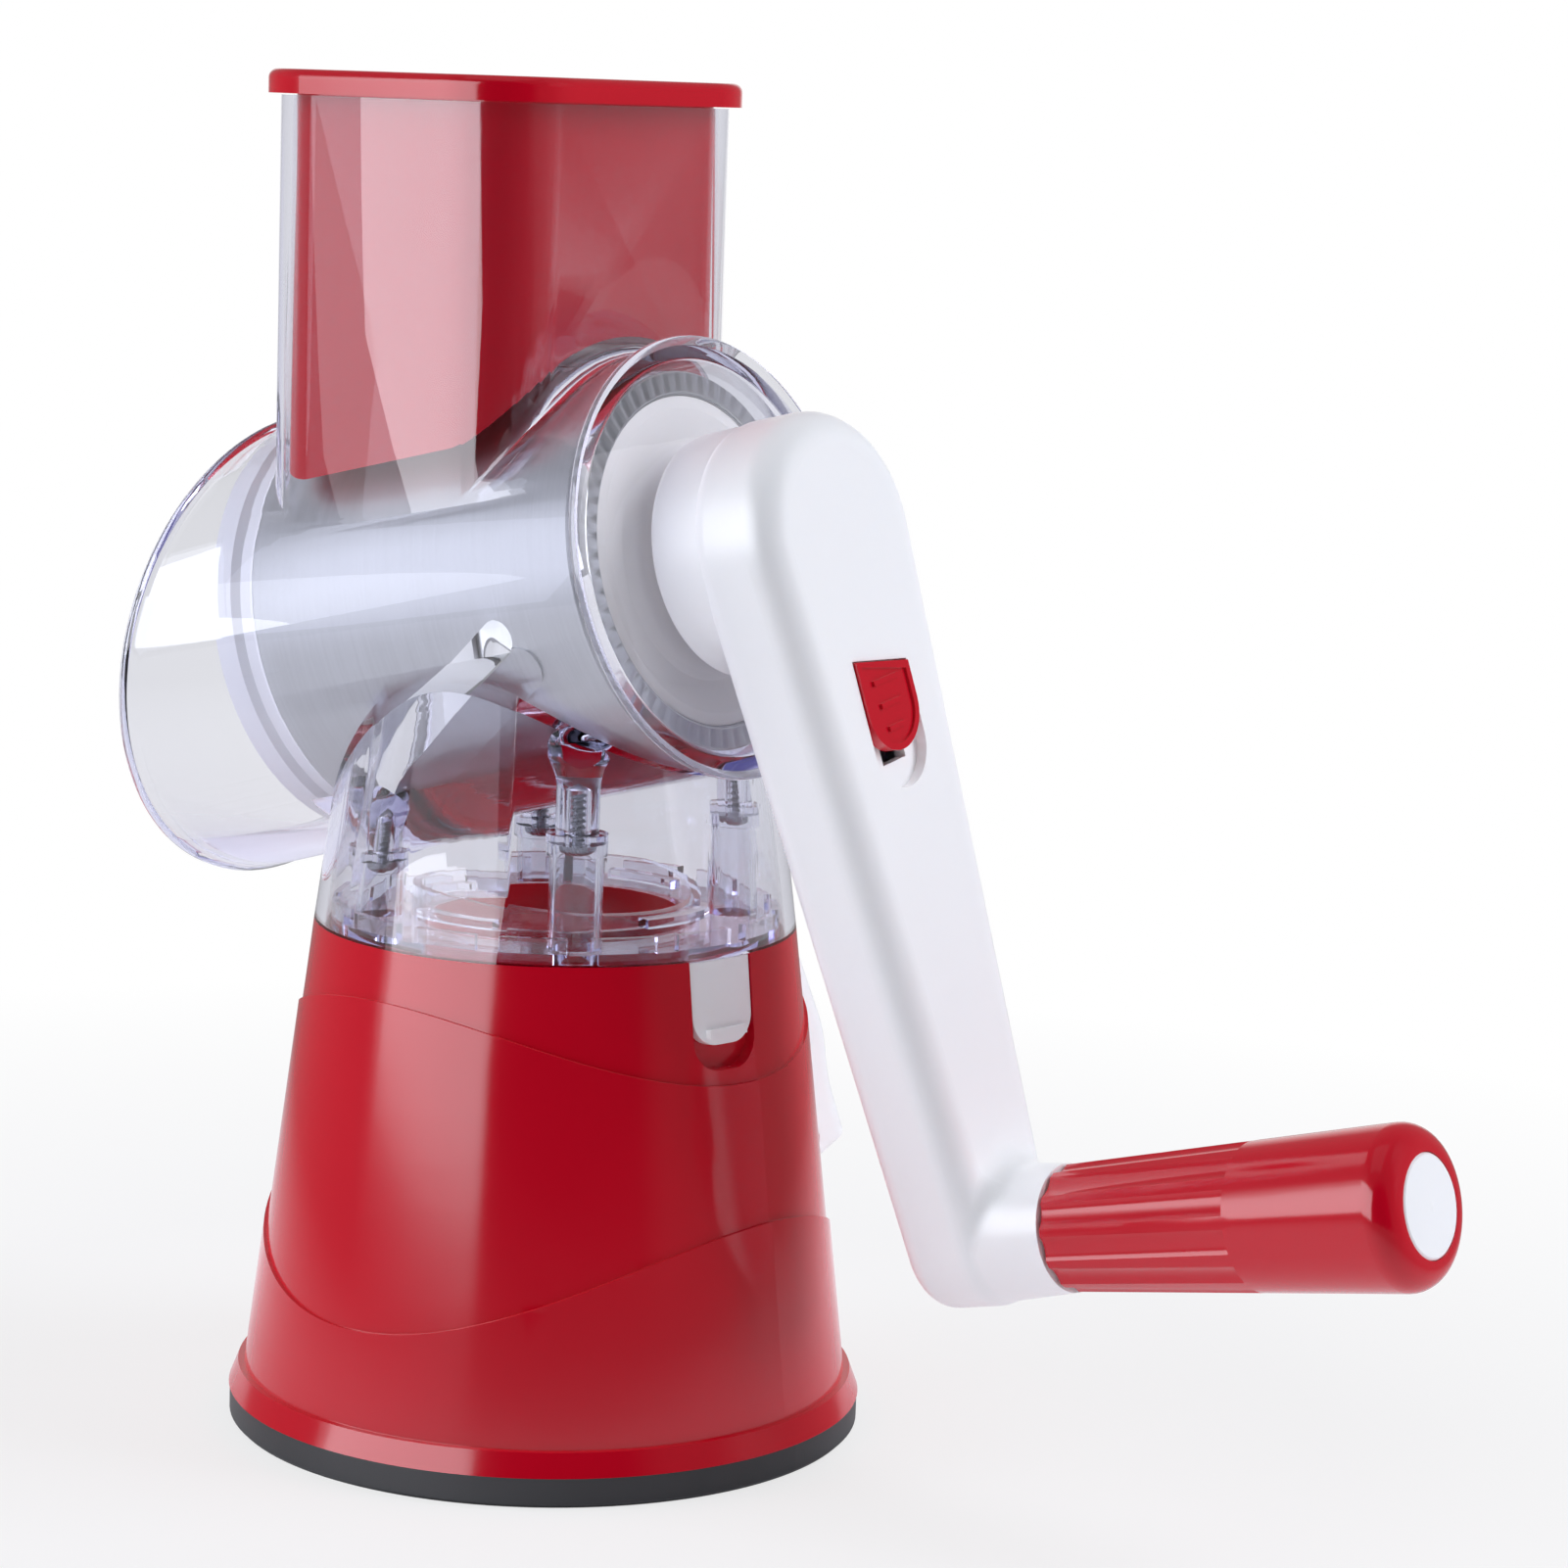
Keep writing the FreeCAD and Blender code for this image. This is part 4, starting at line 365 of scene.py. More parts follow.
def turned(name, place, outline, steps=ROUND):
    """Spin an outline of (radius, height) points about the Z axis of a place."""
    piece = profile_wire(name, outline)
    bpy.ops.object.mode_set(mode="EDIT")
    bpy.ops.mesh.select_all(action="SELECT")
    bpy.ops.mesh.spin(steps=steps, angle=math.tau, center=(0, 0, 0), axis=(0, 0, 1))
    bpy.ops.mesh.select_all(action="SELECT")
    bpy.ops.mesh.remove_doubles(threshold=SAME_POINT)
    faces_outward()
    settle(piece, place)
    return piece


def rounded_block(name, low, high, corner, segments=10):
    """A block whose four upright edges are rounded."""
    bpy.ops.object.select_all(action="DESELECT")
    middle = [(a + b) / 2 for a, b in zip(low, high)]
    bpy.ops.mesh.primitive_cube_add(size=1, location=middle)
    piece = bpy.context.object
    piece.name = name
    piece.scale = [b - a for a, b in zip(low, high)]
    bpy.ops.object.transform_apply(location=True, rotation=True, scale=True)
    bpy.ops.object.mode_set(mode="EDIT")
    bpy.ops.mesh.select_mode(type="EDGE")
    bpy.ops.mesh.select_all(action="DESELECT")
    bpy.ops.object.mode_set(mode="OBJECT")
    for edge in piece.data.edges:
        a, b = (piece.data.vertices[i].co for i in edge.vertices)
        edge.select = abs(a.z - b.z) > 0.5 * (high[2] - low[2])
    bpy.ops.object.mode_set(mode="EDIT")
    bpy.ops.mesh.bevel(offset=corner, segments=segments, affect="EDGES")
    bpy.ops.object.mode_set(mode="OBJECT")
    return piece


def combine(piece, other, operation):
    """Join (UNION) or cut (DIFFERENCE) two closed shapes; the second is used up."""
    lone(piece)
    modifier = piece.modifiers.new(operation.lower(), "BOOLEAN")
    modifier.operation = operation
    modifier.solver = "EXACT"
    modifier.object = other
    bpy.ops.object.modifier_apply(modifier=modifier.name)
    bpy.data.objects.remove(other, do_unlink=True)
    return piece


def rounded_edges(piece, width, segments, angle):
    """Bevel each edge sharper than the angle in degrees, then shade the piece smooth up to it."""
    lone(piece)
    modifier = piece.modifiers.new("rounding", "BEVEL")
    modifier.width = width
    modifier.segments = segments
    modifier.limit_method = "ANGLE"
    modifier.angle_limit = math.radians(angle)
    bpy.ops.object.modifier_apply(modifier=modifier.name)
    bpy.ops.object.shade_smooth_by_angle(angle=math.radians(angle))
    return piece


def dress(piece, name, body, material, slot, *replaced):
    """Name a finished piece, give it its material, its moving body and the nodes that it stands for."""
    piece.name = name
    piece.data.name = name
    piece.data.materials.clear()
    piece.data.materials.append(material)
    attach(piece, body)
    if replaced:
        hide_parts(*replaced)
    print(name, "faces:", len(piece.data.polygons))
    return piece


# %% [markdown]
# One clear moulding
#
# On the real shredder the barrel, the hopper, the hood, the skirt and the four screw bosses come out of
# the mould as one piece of clear plastic with even walls. A clear part shows every wall twice, once from
# each side, so it must be one closed skin: two overlapping shells would show a false wall inside. It is
# built as a mould maker thinks: first the solid outside, then the hollows are cut out of it.
#
# The sizes come from the measured pieces: the drum's axis, the hopper's box and the seam with the foot.

# %% Frames and sizes of the clear moulding
WALL = 2.3 * MM
AXIS_TILT = math.atan2(crank_axis.z, crank_axis.x)
axis_frame = Matrix.Translation(crank_point) @ Matrix.Rotation(math.pi / 2 - AXIS_TILT, 4, "Y")

DRUM_FRONT, DRUM_BACK = 34.5 * MM, -45 * MM
DRUM_SMALL, DRUM_LARGE = 38.0 * MM, 40.9 * MM
BARREL_GAP = 1.2 * MM
MOUTH, END_FACE, END_SHEET = -52 * MM, 40 * MM, 2 * MM
LIP_RADIUS, LIP_SHEET = 43.4 * MM, 1.8 * MM
POST_HOLE = 7.95 * MM
# How far a cutting shape reaches past the face that it cuts
CUT = 1 * MM

HOPPER_LOW, HOPPER_HIGH = (Vector(corner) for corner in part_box("feed_hopper"))
HOPPER_CORNER = 16 * MM
# Where the hopper's block starts, inside the barrel
HOPPER_FOOT = crank_point.z + 2.7 * MM
SEAM_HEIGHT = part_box("clear_skirt")[0][2]
SEAM_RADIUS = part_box("clear_skirt")[1][1]
SKIRT_SLOPE = 0.136
SKIRT_TOP = crank_point.z - 11.3 * MM

HOOD_CENTRE = Vector((-74.3 * MM, 0, crank_point.z - 18.9 * MM))
HOOD_LEAN = math.radians(7.8)
HOOD_RADIUS, BEAD, BEAD_WIDTH = 49.2 * MM, 1.0 * MM, 2.2 * MM


def drum_radius(place):
    """Outer radius of the steel drum at a place along its axis."""
    return DRUM_SMALL + (DRUM_LARGE - DRUM_SMALL) * (DRUM_FRONT - place) / (DRUM_FRONT - DRUM_BACK)


def barrel_inner(place):
    """Radius of the barrel's bore at a place along the drum's axis."""
    return drum_radius(place) + BARREL_GAP


def barrel_outer(place):
    """Radius of the barrel's outside at a place along the drum's axis."""
    return barrel_inner(place) + WALL


def skirt_radius(height):
    """Outer radius of the skirt, which tapers upward from the seam."""
    return SEAM_RADIUS - SKIRT_SLOPE * (height - SEAM_HEIGHT)


print("seam", round(SEAM_HEIGHT, 4), round(SEAM_RADIUS, 4), "hopper", HOPPER_LOW[:], HOPPER_HIGH[:])

# %% [markdown]
# The discharge hood
#
# The hood is a skin between round rings that don't lie parallel: the barrel's mouth, and a rim that leans
# so that its lower lip stands further out. By hand this is a row of circles, each turned to its place,
# joined with Bridge Edge Loops and closed at both ends.


# %% A skin through leaning rings
def bridged(name, rings):
    """A closed skin through round rings, each given as a place and a radius."""
    piece = wire(name, [], [])
    bpy.ops.object.mode_set(mode="EDIT")
    bpy.ops.mesh.select_mode(type="VERT")
    for place, radius in rings:
        bpy.ops.mesh.primitive_circle_add(
            vertices=ROUND, radius=radius, location=place.translation, rotation=place.to_euler())
    for i in range(len(rings) - 1):
        pick_rings(piece, (i, i + 1))
        bpy.ops.mesh.bridge_edge_loops()
    for i in (0, len(rings) - 1):
        pick_rings(piece, (i,))
        bpy.ops.mesh.edge_face_add()
    faces_outward()
    return piece


def pick_rings(piece, numbers, count=ROUND):
    """Select whole rings, which keep their order in the mesh."""
    bpy.ops.mesh.select_all(action="DESELECT")
    bpy.ops.object.mode_set(mode="OBJECT")
    for i in numbers:
        for vertex in piece.data.vertices[i * count:(i + 1) * count]:
            vertex.select = True
    bpy.ops.object.mode_set(mode="EDIT")


# Length of the slope behind the bead, the rounding of the bead's edges, and the depth of its front middle
BEAD_SLOPE, BEAD_EDGE, BEAD_FRONT = 0.8 * MM, 0.5 * MM, 0.15 * MM
# How deep and how wide the hollow flares at the rim
RIM_DEPTH, RIM_FLARE = 0.8 * MM, 0.4 * MM
# The hollow starts this much narrower than the throat, a little less than the barrel's own taper there
THROAT_TAPER = 0.03 * MM
mouth_frame = axis_frame @ Matrix.Translation((0, 0, MOUTH))
rim_frame = Matrix.Translation(HOOD_CENTRE) @ Matrix.Rotation(math.pi / 2 + HOOD_LEAN, 4, "Y")


def rim_ring(depth, radius):
    """A ring parallel to the hood's rim, a little way inside it."""
    return rim_frame @ Matrix.Translation((0, 0, depth)), radius


def make_hood_blank():
    """The hood's outside, with the bead round its rim."""
    return bridged("hood_blank", [
        (mouth_frame, barrel_outer(MOUTH)),
        rim_ring(BEAD_WIDTH + BEAD_SLOPE, HOOD_RADIUS - BEAD),
        rim_ring(BEAD_WIDTH, HOOD_RADIUS - BEAD_EDGE / 2),
        rim_ring(BEAD_WIDTH - BEAD_EDGE, HOOD_RADIUS),
        rim_ring(BEAD_EDGE, HOOD_RADIUS),
        rim_ring(BEAD_FRONT, HOOD_RADIUS - BEAD_EDGE / 2),
        rim_ring(0, HOOD_RADIUS - BEAD_EDGE)])


def make_hood_hollow():
    """The space in the hood, open at its rim and at the barrel's mouth."""
    throat = barrel_outer(MOUTH) - WALL
    return bridged("hood_hollow", [
        (mouth_frame @ Matrix.Translation((0, 0, CUT)), throat - THROAT_TAPER),
        (mouth_frame, throat),
        rim_ring(RIM_DEPTH, HOOD_RADIUS - BEAD - WALL),
        rim_ring(0, HOOD_RADIUS - BEAD - WALL + RIM_FLARE),
        rim_ring(-CUT, HOOD_RADIUS - BEAD)])


# %% [markdown]
# The barrel, the hopper and the skirt
#
# The barrel is a cone that widens a little to its open end, with a rounded lip round the end wall. The
# hopper is a block with rounded upright edges. The skirt is a thin cone cut off level. Its top reaches
# into the barrel, and the barrel's hollow cuts away what stands in the bore. Each hollow is the shape of
# its outside made smaller by the wall, so that the wall is nearly the same thickness everywhere.


# %% Blanks of the moulding
# The barrel reaches this far into the hood, so that the two blanks join
HOOD_OVERLAP = 2 * MM
# The rounding of the lip and of the bore's corner, the small hollow behind the lip, and the lip's flat ring
LIP_EDGE, BORE_EDGE = 0.6 * MM, 0.8 * MM
LIP_HOLLOW_DEPTH, LIP_HOLLOW_RISE = 0.2 * MM, 0.1 * MM
LIP_FLAT = 3 * MM
# The middle of a rounding lies this share of its width from both faces (0.29 on a true arc)
CORNER_SHARE = 0.3


def make_barrel_blank():
    """The barrel's outside, from inside the hood to the lip round the end wall."""
    start = MOUTH - HOOD_OVERLAP
    lip_back = END_FACE - LIP_SHEET
    return turned("barrel_blank", axis_frame, [
        (0, start), (barrel_outer(start), start),
        (barrel_outer(lip_back - LIP_EDGE), lip_back - LIP_EDGE),
        (barrel_outer(lip_back) + LIP_HOLLOW_RISE, lip_back - LIP_HOLLOW_DEPTH),
        (LIP_RADIUS - LIP_EDGE, lip_back + LIP_HOLLOW_RISE),
        (LIP_RADIUS - LIP_EDGE / 4, lip_back + LIP_EDGE / 2),
        (LIP_RADIUS, END_FACE - LIP_EDGE), (LIP_RADIUS - LIP_EDGE / 4, END_FACE - LIP_EDGE / 4),
        (LIP_RADIUS - LIP_EDGE, END_FACE), (LIP_RADIUS - LIP_FLAT, END_FACE), (0, END_FACE)])


def make_barrel_hollow():
    """The barrel's bore, which leaves the end wall standing."""
    start, inside = MOUTH - CUT, END_FACE - END_SHEET
    rounding = BORE_EDGE * CORNER_SHARE
    return turned("barrel_hollow", axis_frame, [
        (0, start), (barrel_inner(start), start),
        (barrel_inner(inside - BORE_EDGE), inside - BORE_EDGE),
        (barrel_inner(inside) - rounding, inside - rounding),
        (barrel_inner(inside) - BORE_EDGE, inside), (0, inside)])


def make_post_hole():
    """The hole in the end wall for the drum's drive post."""
    start, end = END_FACE - 2 * END_SHEET, END_FACE + CUT
    return turned("post_hole", axis_frame, [
        (0, start), (POST_HOLE, start), (POST_HOLE, end), (0, end)], steps=48)


def make_skirt_ring():
    """The skirt, as a ring of the wall's thickness."""
    low, high = SEAM_HEIGHT, SKIRT_TOP
    return turned("skirt_ring", Matrix.Identity(4), [
        (skirt_radius(low) - WALL, low), (skirt_radius(low), low), (skirt_radius(high), high),
        (skirt_radius(high) - WALL, high), (skirt_radius(low) - WALL, low)])


def make_hopper(name, inset, top):
    """The hopper's block, drawn in all round by the inset."""
    low = (HOPPER_LOW.x + inset, HOPPER_LOW.y + inset, HOPPER_FOOT)
    high = (HOPPER_HIGH.x - inset, HOPPER_HIGH.y - inset, top)
    return rounded_block(name, low, high, HOPPER_CORNER - inset)


# %% [markdown]
# The fillet at the hopper's foot
#
# The hopper grows out of the barrel with a hollow fillet all round. A ball rolled along the crease would
# shape it, so each section is an arc about the ball's centre, and the sections are bridged one by one.

# %% Fillet where the hopper meets the barrel
# Radius of the fillet, how deep its back lies in the walls, and how far its edges sink into them
FILLET, FILLET_ROOT, FILLET_SINK = 2.4 * MM, 0.8 * MM, 0.06 * MM
ARC_STEPS = 6
# Tries in which a height that is found step by step has settled
TRIES_OUTSIDE, TRIES_UNDER = 60, 20


def hopper_outline(steps=10):
    """Places round the hopper's wall, each with the direction that the wall faces."""
    places = []
    for quarter, (x, y) in enumerate((
            (HOPPER_HIGH.x, HOPPER_HIGH.y), (HOPPER_LOW.x, HOPPER_HIGH.y),
            (HOPPER_LOW.x, HOPPER_LOW.y), (HOPPER_HIGH.x, HOPPER_LOW.y))):
        inward = Vector((1 if x == HOPPER_LOW.x else -1, 1 if y == HOPPER_LOW.y else -1, 0))
        centre = Vector((x, y, 0)) + inward * HOPPER_CORNER
        for i in range(steps + 1):
            turn = (quarter + i / steps) * math.pi / 2
            outward = Vector((math.cos(turn), math.sin(turn), 0))
            places.append((centre + outward * HOPPER_CORNER, outward))
        if quarter % 2 == 0:
            length = HOPPER_HIGH.x - HOPPER_LOW.x - 2 * HOPPER_CORNER
        else:
            length = HOPPER_HIGH.y - HOPPER_LOW.y - 2 * HOPPER_CORNER
        along = Vector((-outward.y, outward.x, 0))
        last = places[-1][0]
        places += [(last + along * length * i / steps, outward) for i in range(1, steps)]
    return places


def above_barrel(place, clearance):
    """The point over this place whose distance from the barrel's outside is the clearance."""
    height = crank_point.z + barrel_outer(0)
    for _ in range(TRIES_OUTSIDE):
        point = Vector((place.x, place.y, height))
        along = (point - crank_point).dot(crank_axis)
        sideways = point - crank_point - crank_axis * along
        height -= sideways.length - barrel_outer(along) - clearance
    return Vector((place.x, place.y, height)), sideways.normalized()


def make_fillet():
    """A closed band with one section for each place round the hopper."""
    points = []
    sections = hopper_outline()
    for place, outward in sections:
        centre, away = above_barrel(place + outward * (FILLET - FILLET_SINK), FILLET - 2 * FILLET_SINK)
        for i in range(ARC_STEPS + 1):
            direction = (-outward).lerp(-away, i / ARC_STEPS).normalized()
            points.append(centre + direction * FILLET)
        points.append(above_barrel(place - outward * FILLET_ROOT, -FILLET_ROOT)[0])
    count = ARC_STEPS + 2
    edges = [(ring * count + i, ring * count + (i + 1) % count)
             for ring in range(len(sections)) for i in range(count)]
    piece = wire("fillet", points, edges)
    bpy.ops.object.mode_set(mode="EDIT")
    bpy.ops.mesh.select_mode(type="VERT")
    for i in range(len(sections)):
        pick_rings(piece, (i, (i + 1) % len(sections)), count)
        bpy.ops.mesh.bridge_edge_loops()
    faces_outward()
    return piece


# %% [markdown]
# Screw bosses
#
# Four rods hang from the barrel to take the screws. They stay the same width down to the bayonet ring,
# and flare where they grow out of the barrel, so that the melt flows into them without a sink mark.

# %% Boss blanks
# Height, reach and steps of a boss's flare, and how far its top sinks into the barrel's wall
FLARE_HEIGHT, FLARE_SPREAD, FLARE_STEPS, BOSS_SINK = 6 * MM, 1.8 * MM, 8, 0.5 * MM
# The bore's clearance round the screw, and the room past the screw's tip
BORE_GAP, TIP_ROOM = 0.05 * MM, 0.6 * MM
BOSS_PLACE, BOSS_RADIUS = 25.3 * MM, 4.2 * MM
HEAD_HIGH, HEAD_LOW = SEAM_HEIGHT + 19.5 * MM, SEAM_HEIGHT + 10.6 * MM
HEAD_HEIGHT, TOWER_WEB = 2.4 * MM, 2.0 * MM
SHANK_RADIUS, SHANK_LENGTH = 1.6 * MM, 10 * MM
boss_places = [(x, y, head) for x, head in ((BOSS_PLACE, HEAD_HIGH), (-BOSS_PLACE, HEAD_LOW))
               for y in (BOSS_PLACE, -BOSS_PLACE)]


def barrel_underside(x, y):
    """Height of the barrel's underside over a point of the floor."""
    height = crank_point.z
    for _ in range(TRIES_UNDER):
        place = Vector((x, y, height)) - crank_point
        along = place.dot(crank_axis)
        sideways = (place - crank_axis * along).length
        height += sideways - barrel_outer(along)
    return height


def make_boss(x, y, head):
    """A rod from the tower of the bayonet ring up into the barrel, flared at its top."""
    start = head + HEAD_HEIGHT + TOWER_WEB
    outward = 1 + (BOSS_RADIUS + FLARE_SPREAD) / BOSS_PLACE
    reach = barrel_underside(x, y)
    top = barrel_underside(x, y * outward) + BOSS_SINK
    outline = [(0, start), (BOSS_RADIUS, start), (BOSS_RADIUS, reach - FLARE_HEIGHT)]
    for i in range(1, FLARE_STEPS + 1):
        share = i / FLARE_STEPS
        radius = BOSS_RADIUS + FLARE_SPREAD * (1 - math.cos(share * math.pi / 2))
        outline.append((radius, reach - FLARE_HEIGHT + FLARE_HEIGHT * share))
    outline += [(BOSS_RADIUS + FLARE_SPREAD, top), (0, top)]
    return turned("boss", Matrix.Translation((x, y, 0)), outline, steps=32)


def make_boss_bore(x, y, head):
    """The blind hole that the screw cuts its thread in, with a pointed end."""
    start = head + HEAD_HEIGHT + TOWER_WEB
    end = start + (SHANK_LENGTH - TOWER_WEB + TIP_ROOM)
    radius = SHANK_RADIUS + BORE_GAP
    return turned("boss_bore", Matrix.Translation((x, y, 0)), [
        (0, start - CUT), (radius, start - CUT), (radius, end), (0, end + SHANK_RADIUS)], steps=24)


# %% [markdown]
# Join and cut
#
# The Boolean modifier joins the blanks one after another, and then cuts the hollows, so that no hollow is
# filled again by a blank that comes later. What is round is round in the blanks. A last Bevel modifier asks
# for a little more at the sharp edges, but it clamps its width by the shortest edge, and the cuts leave edges
# of almost no length. So it rounds next to nothing, and shows only in the shading along those edges.

# %% Join the outside, then cut the hollows
# The width of the rounding, and the angle in degrees above which an edge is sharp
EDGE_ROUNDING, SHARP_ANGLE = 0.25 * MM, 40


def make_clear_moulding():
    """The whole clear moulding as one closed skin."""
    moulding = combine(make_barrel_blank(), make_skirt_ring(), "UNION")
    moulding = combine(moulding, make_hood_blank(), "UNION")
    moulding = combine(moulding, make_hopper("hopper_blank", 0, HOPPER_HIGH.z), "UNION")
    moulding = combine(moulding, make_fillet(), "UNION")
    for place in boss_places:
        moulding = combine(moulding, make_boss(*place), "UNION")
    for make_hollow in (make_barrel_hollow, make_hood_hollow, make_post_hole):
        moulding = combine(moulding, make_hollow(), "DIFFERENCE")
    moulding = combine(moulding, make_hopper("hopper_hollow", WALL, HOPPER_HIGH.z + CUT), "DIFFERENCE")
    for place in boss_places:
        moulding = combine(moulding, make_boss_bore(*place), "DIFFERENCE")
    return rounded_edges(moulding, width=EDGE_ROUNDING, segments=2, angle=SHARP_ANGLE)


dress(
    make_clear_moulding(), "clear_moulding", "root", clear_san, "clear_as",
    "drum_barrel", "feed_hopper", "discharge_hood", "clear_skirt", "body_bosses")

# %% [markdown]
# Screws
#
# Four self-cutting screws pull the bayonet ring up under the bosses, and their threads show through the
# clear plastic. The shank is the outline of one thread, turned and lifted by the Screw modifier, so the
# thread is a true helix. The head is a dome with a cross cut into it.

# %% Threaded screws
PITCH = 1.25 * MM
THREAD_DEPTH = 0.6 * MM
HEAD_RADIUS, HEAD_DOME, NECK = 3.5 * MM, 1.5 * MM, 0.8 * MM
DOME_STEPS, THREAD_STEPS = 6, 20
SCREW_CREASE = math.radians(35)
# The cross in the head: half its length, half its width, its depth and the rounding of its corners
CROSS_ARM, CROSS_HALF, CROSS_DEPTH, CROSS_CORNER = 1.9 * MM, 0.4 * MM, 1.3 * MM, 0.25 * MM
# Each screw came to rest at another turn, this much further than the one before, in radians
NEXT_TURN = 0.6


def make_shank(base):
    """One thread's outline, screwed upward for the length of the shank."""
    turns = round(SHANK_LENGTH / PITCH) - 1
    root, crest = SHANK_RADIUS - THREAD_DEPTH, SHANK_RADIUS
    # Radius, and height as a share of the pitch
    profile = [(root, 0), (root, 0.35), (crest, 0.62), (crest, 0.72), (root, 1)]
    shank = profile_wire("thread", [(radius, base + share * PITCH) for radius, share in profile])
    modifier = shank.modifiers.new("helix", "SCREW")
    modifier.screw_offset = PITCH
    modifier.iterations = turns
    modifier.steps = modifier.render_steps = THREAD_STEPS
    modifier.use_merge_vertices = True
    modifier.merge_threshold = SAME_POINT
    bpy.ops.object.modifier_apply(modifier=modifier.name)
    bpy.ops.object.mode_set(mode="EDIT")
    bpy.ops.mesh.select_all(action="SELECT")
    bpy.ops.mesh.remove_doubles(threshold=SAME_POINT)
    bpy.ops.mesh.fill_holes(sides=0)
    faces_outward()
    return shank


def make_screw(head):
    """Head down at the given height, shank up."""
    base, core = head + HEAD_HEIGHT, SHANK_RADIUS - THREAD_DEPTH
    dome = [(0, head)]
    for i in range(1, DOME_STEPS + 1):
        angle = i / DOME_STEPS * math.pi / 2
        dome.append((HEAD_RADIUS * math.sin(angle), head + HEAD_DOME * (1 - math.cos(angle))))
    dome += [(HEAD_RADIUS, base), (core, base), (core, base + NECK), (0, base + NECK)]
    screw = turned("screw", Matrix.Identity(4), dome, steps=40)
    for reach_x, reach_y in ((CROSS_ARM, CROSS_HALF), (CROSS_HALF, CROSS_ARM)):
        slot_low = (-reach_x, -reach_y, head - CUT)
        slot_high = (reach_x, reach_y, head + CROSS_DEPTH)
        cutter = rounded_block("cross", slot_low, slot_high, CROSS_CORNER, segments=3)
        screw = combine(screw, cutter, "DIFFERENCE")
    shank = make_shank(base)
    lone(screw)
    shank.select_set(True)
    bpy.ops.object.join()
    bpy.ops.object.shade_smooth_by_angle(angle=SCREW_CREASE)
    return screw


def place_screws():
    """The first screw is made once and copied; the four copies are joined in one piece."""
    pattern = make_screw(0)
    copies = []
    for i, (x, y, head) in enumerate(boss_places):
        copy = pattern.copy()
        copy.data = pattern.data.copy()
        bpy.context.scene.collection.objects.link(copy)
        settle(copy, Matrix.Translation((x, y, head)) @ Matrix.Rotation(NEXT_TURN * i, 4, "Z"))
        copies.append(copy)
    bpy.data.objects.remove(pattern, do_unlink=True)
    lone(copies[0])
    for copy in copies[1:]:
        copy.select_set(True)
    bpy.ops.object.join()
    return bpy.context.object


dress(place_screws(), "threaded_screws", "root", screw_steel, "screw_steel", "body_screws")

# %% [markdown]
# The drum's crimped rim
#
# The steel drum is folded over the white end disc, and the fold is crimped so that the disc can't turn in
# it. The crimps are a row of short radial dents. A flat ring is spun, and then two of every six points
# round its face are pushed in along the drum's axis.

# %% Crimped rim
CRIMPS = 60
STEPS_PER_CRIMP = 6
DENTED_STEPS = (0, 1)
DENT = 0.35 * MM
RIM_CREASE = math.radians(30)
# The fold's thickness, its inner radius, how far it stays inside the drum, and the plain strip at its edges
FOLD, FOLD_INNER, FOLD_INSET, PLAIN_STRIP = 0.55 * MM, 33.4 * MM, 0.2 * MM, 0.9 * MM
# The inner edge's small chamfer, and the outer edge's round shoulder, each as a width and a drop
INNER_CHAMFER = (0.25 * MM, 0.15 * MM)
SHOULDER, SHOULDER_FOOT = (0.3 * MM, 0.1 * MM), 0.4 * MM
# A point belongs to the dented face if it is this near to it, and this far outside the inner edge
FACE_REACH, DENT_START = 0.05 * MM, 0.6 * MM


def make_crimped_rim():
    """The folded rim of the drum, with its dents, on the drum's axis."""
    face = DRUM_FRONT + FOLD
    outer = drum_radius(DRUM_FRONT) - FOLD_INSET
    inner = FOLD_INNER
    rim = turned("crimped_rim", Matrix.Identity(4), [
        (inner, DRUM_FRONT), (inner, face - INNER_CHAMFER[1]), (inner + INNER_CHAMFER[0], face),
        (inner + PLAIN_STRIP, face), (outer - PLAIN_STRIP, face),
        (outer - SHOULDER[0], face - SHOULDER[1]), (outer, face - SHOULDER_FOOT),
        (outer, DRUM_FRONT), (inner, DRUM_FRONT)], steps=CRIMPS * STEPS_PER_CRIMP)
    bpy.ops.object.mode_set(mode="EDIT")
    bpy.ops.mesh.select_mode(type="VERT")
    bpy.ops.mesh.select_all(action="DESELECT")
    bpy.ops.object.mode_set(mode="OBJECT")
    for vertex in rim.data.vertices:
        turn = math.atan2(vertex.co.y, vertex.co.x) / math.tau * CRIMPS * STEPS_PER_CRIMP
        radius = math.hypot(vertex.co.x, vertex.co.y)
        on_face = vertex.co.z > face - FACE_REACH and radius > inner + DENT_START
        vertex.select = on_face and round(turn) % STEPS_PER_CRIMP in DENTED_STEPS
    bpy.ops.object.mode_set(mode="EDIT")
    bpy.ops.transform.translate(value=(0, 0, -DENT))
    bpy.ops.object.mode_set(mode="OBJECT")
    settle(rim, axis_frame)
    bpy.ops.object.shade_smooth_by_angle(angle=RIM_CREASE)
    return rim


dress(make_crimped_rim(), "crimped_rim", "crank", drum_steel, "steel")

# %% [markdown]
# The camera
#
# The photograph was taken from the crank side, at the height of the pusher's cap and looking a little
# down, with a long lens that tapers the shape little. The camera is built from its three directions: where
# it looks, what is right and what is up. A slight roll of the camera leans the whole picture clockwise.

# %% Camera
CAMERA_PLACE = Vector((0.5311, -0.6510, 0.2676))
CAMERA_HEADING = math.radians(36.14)
CAMERA_PITCH = math.radians(9.25)
CAMERA_ROLL = math.radians(1.93)
LENS_MM, SENSOR_MM = 97.43, 36.0

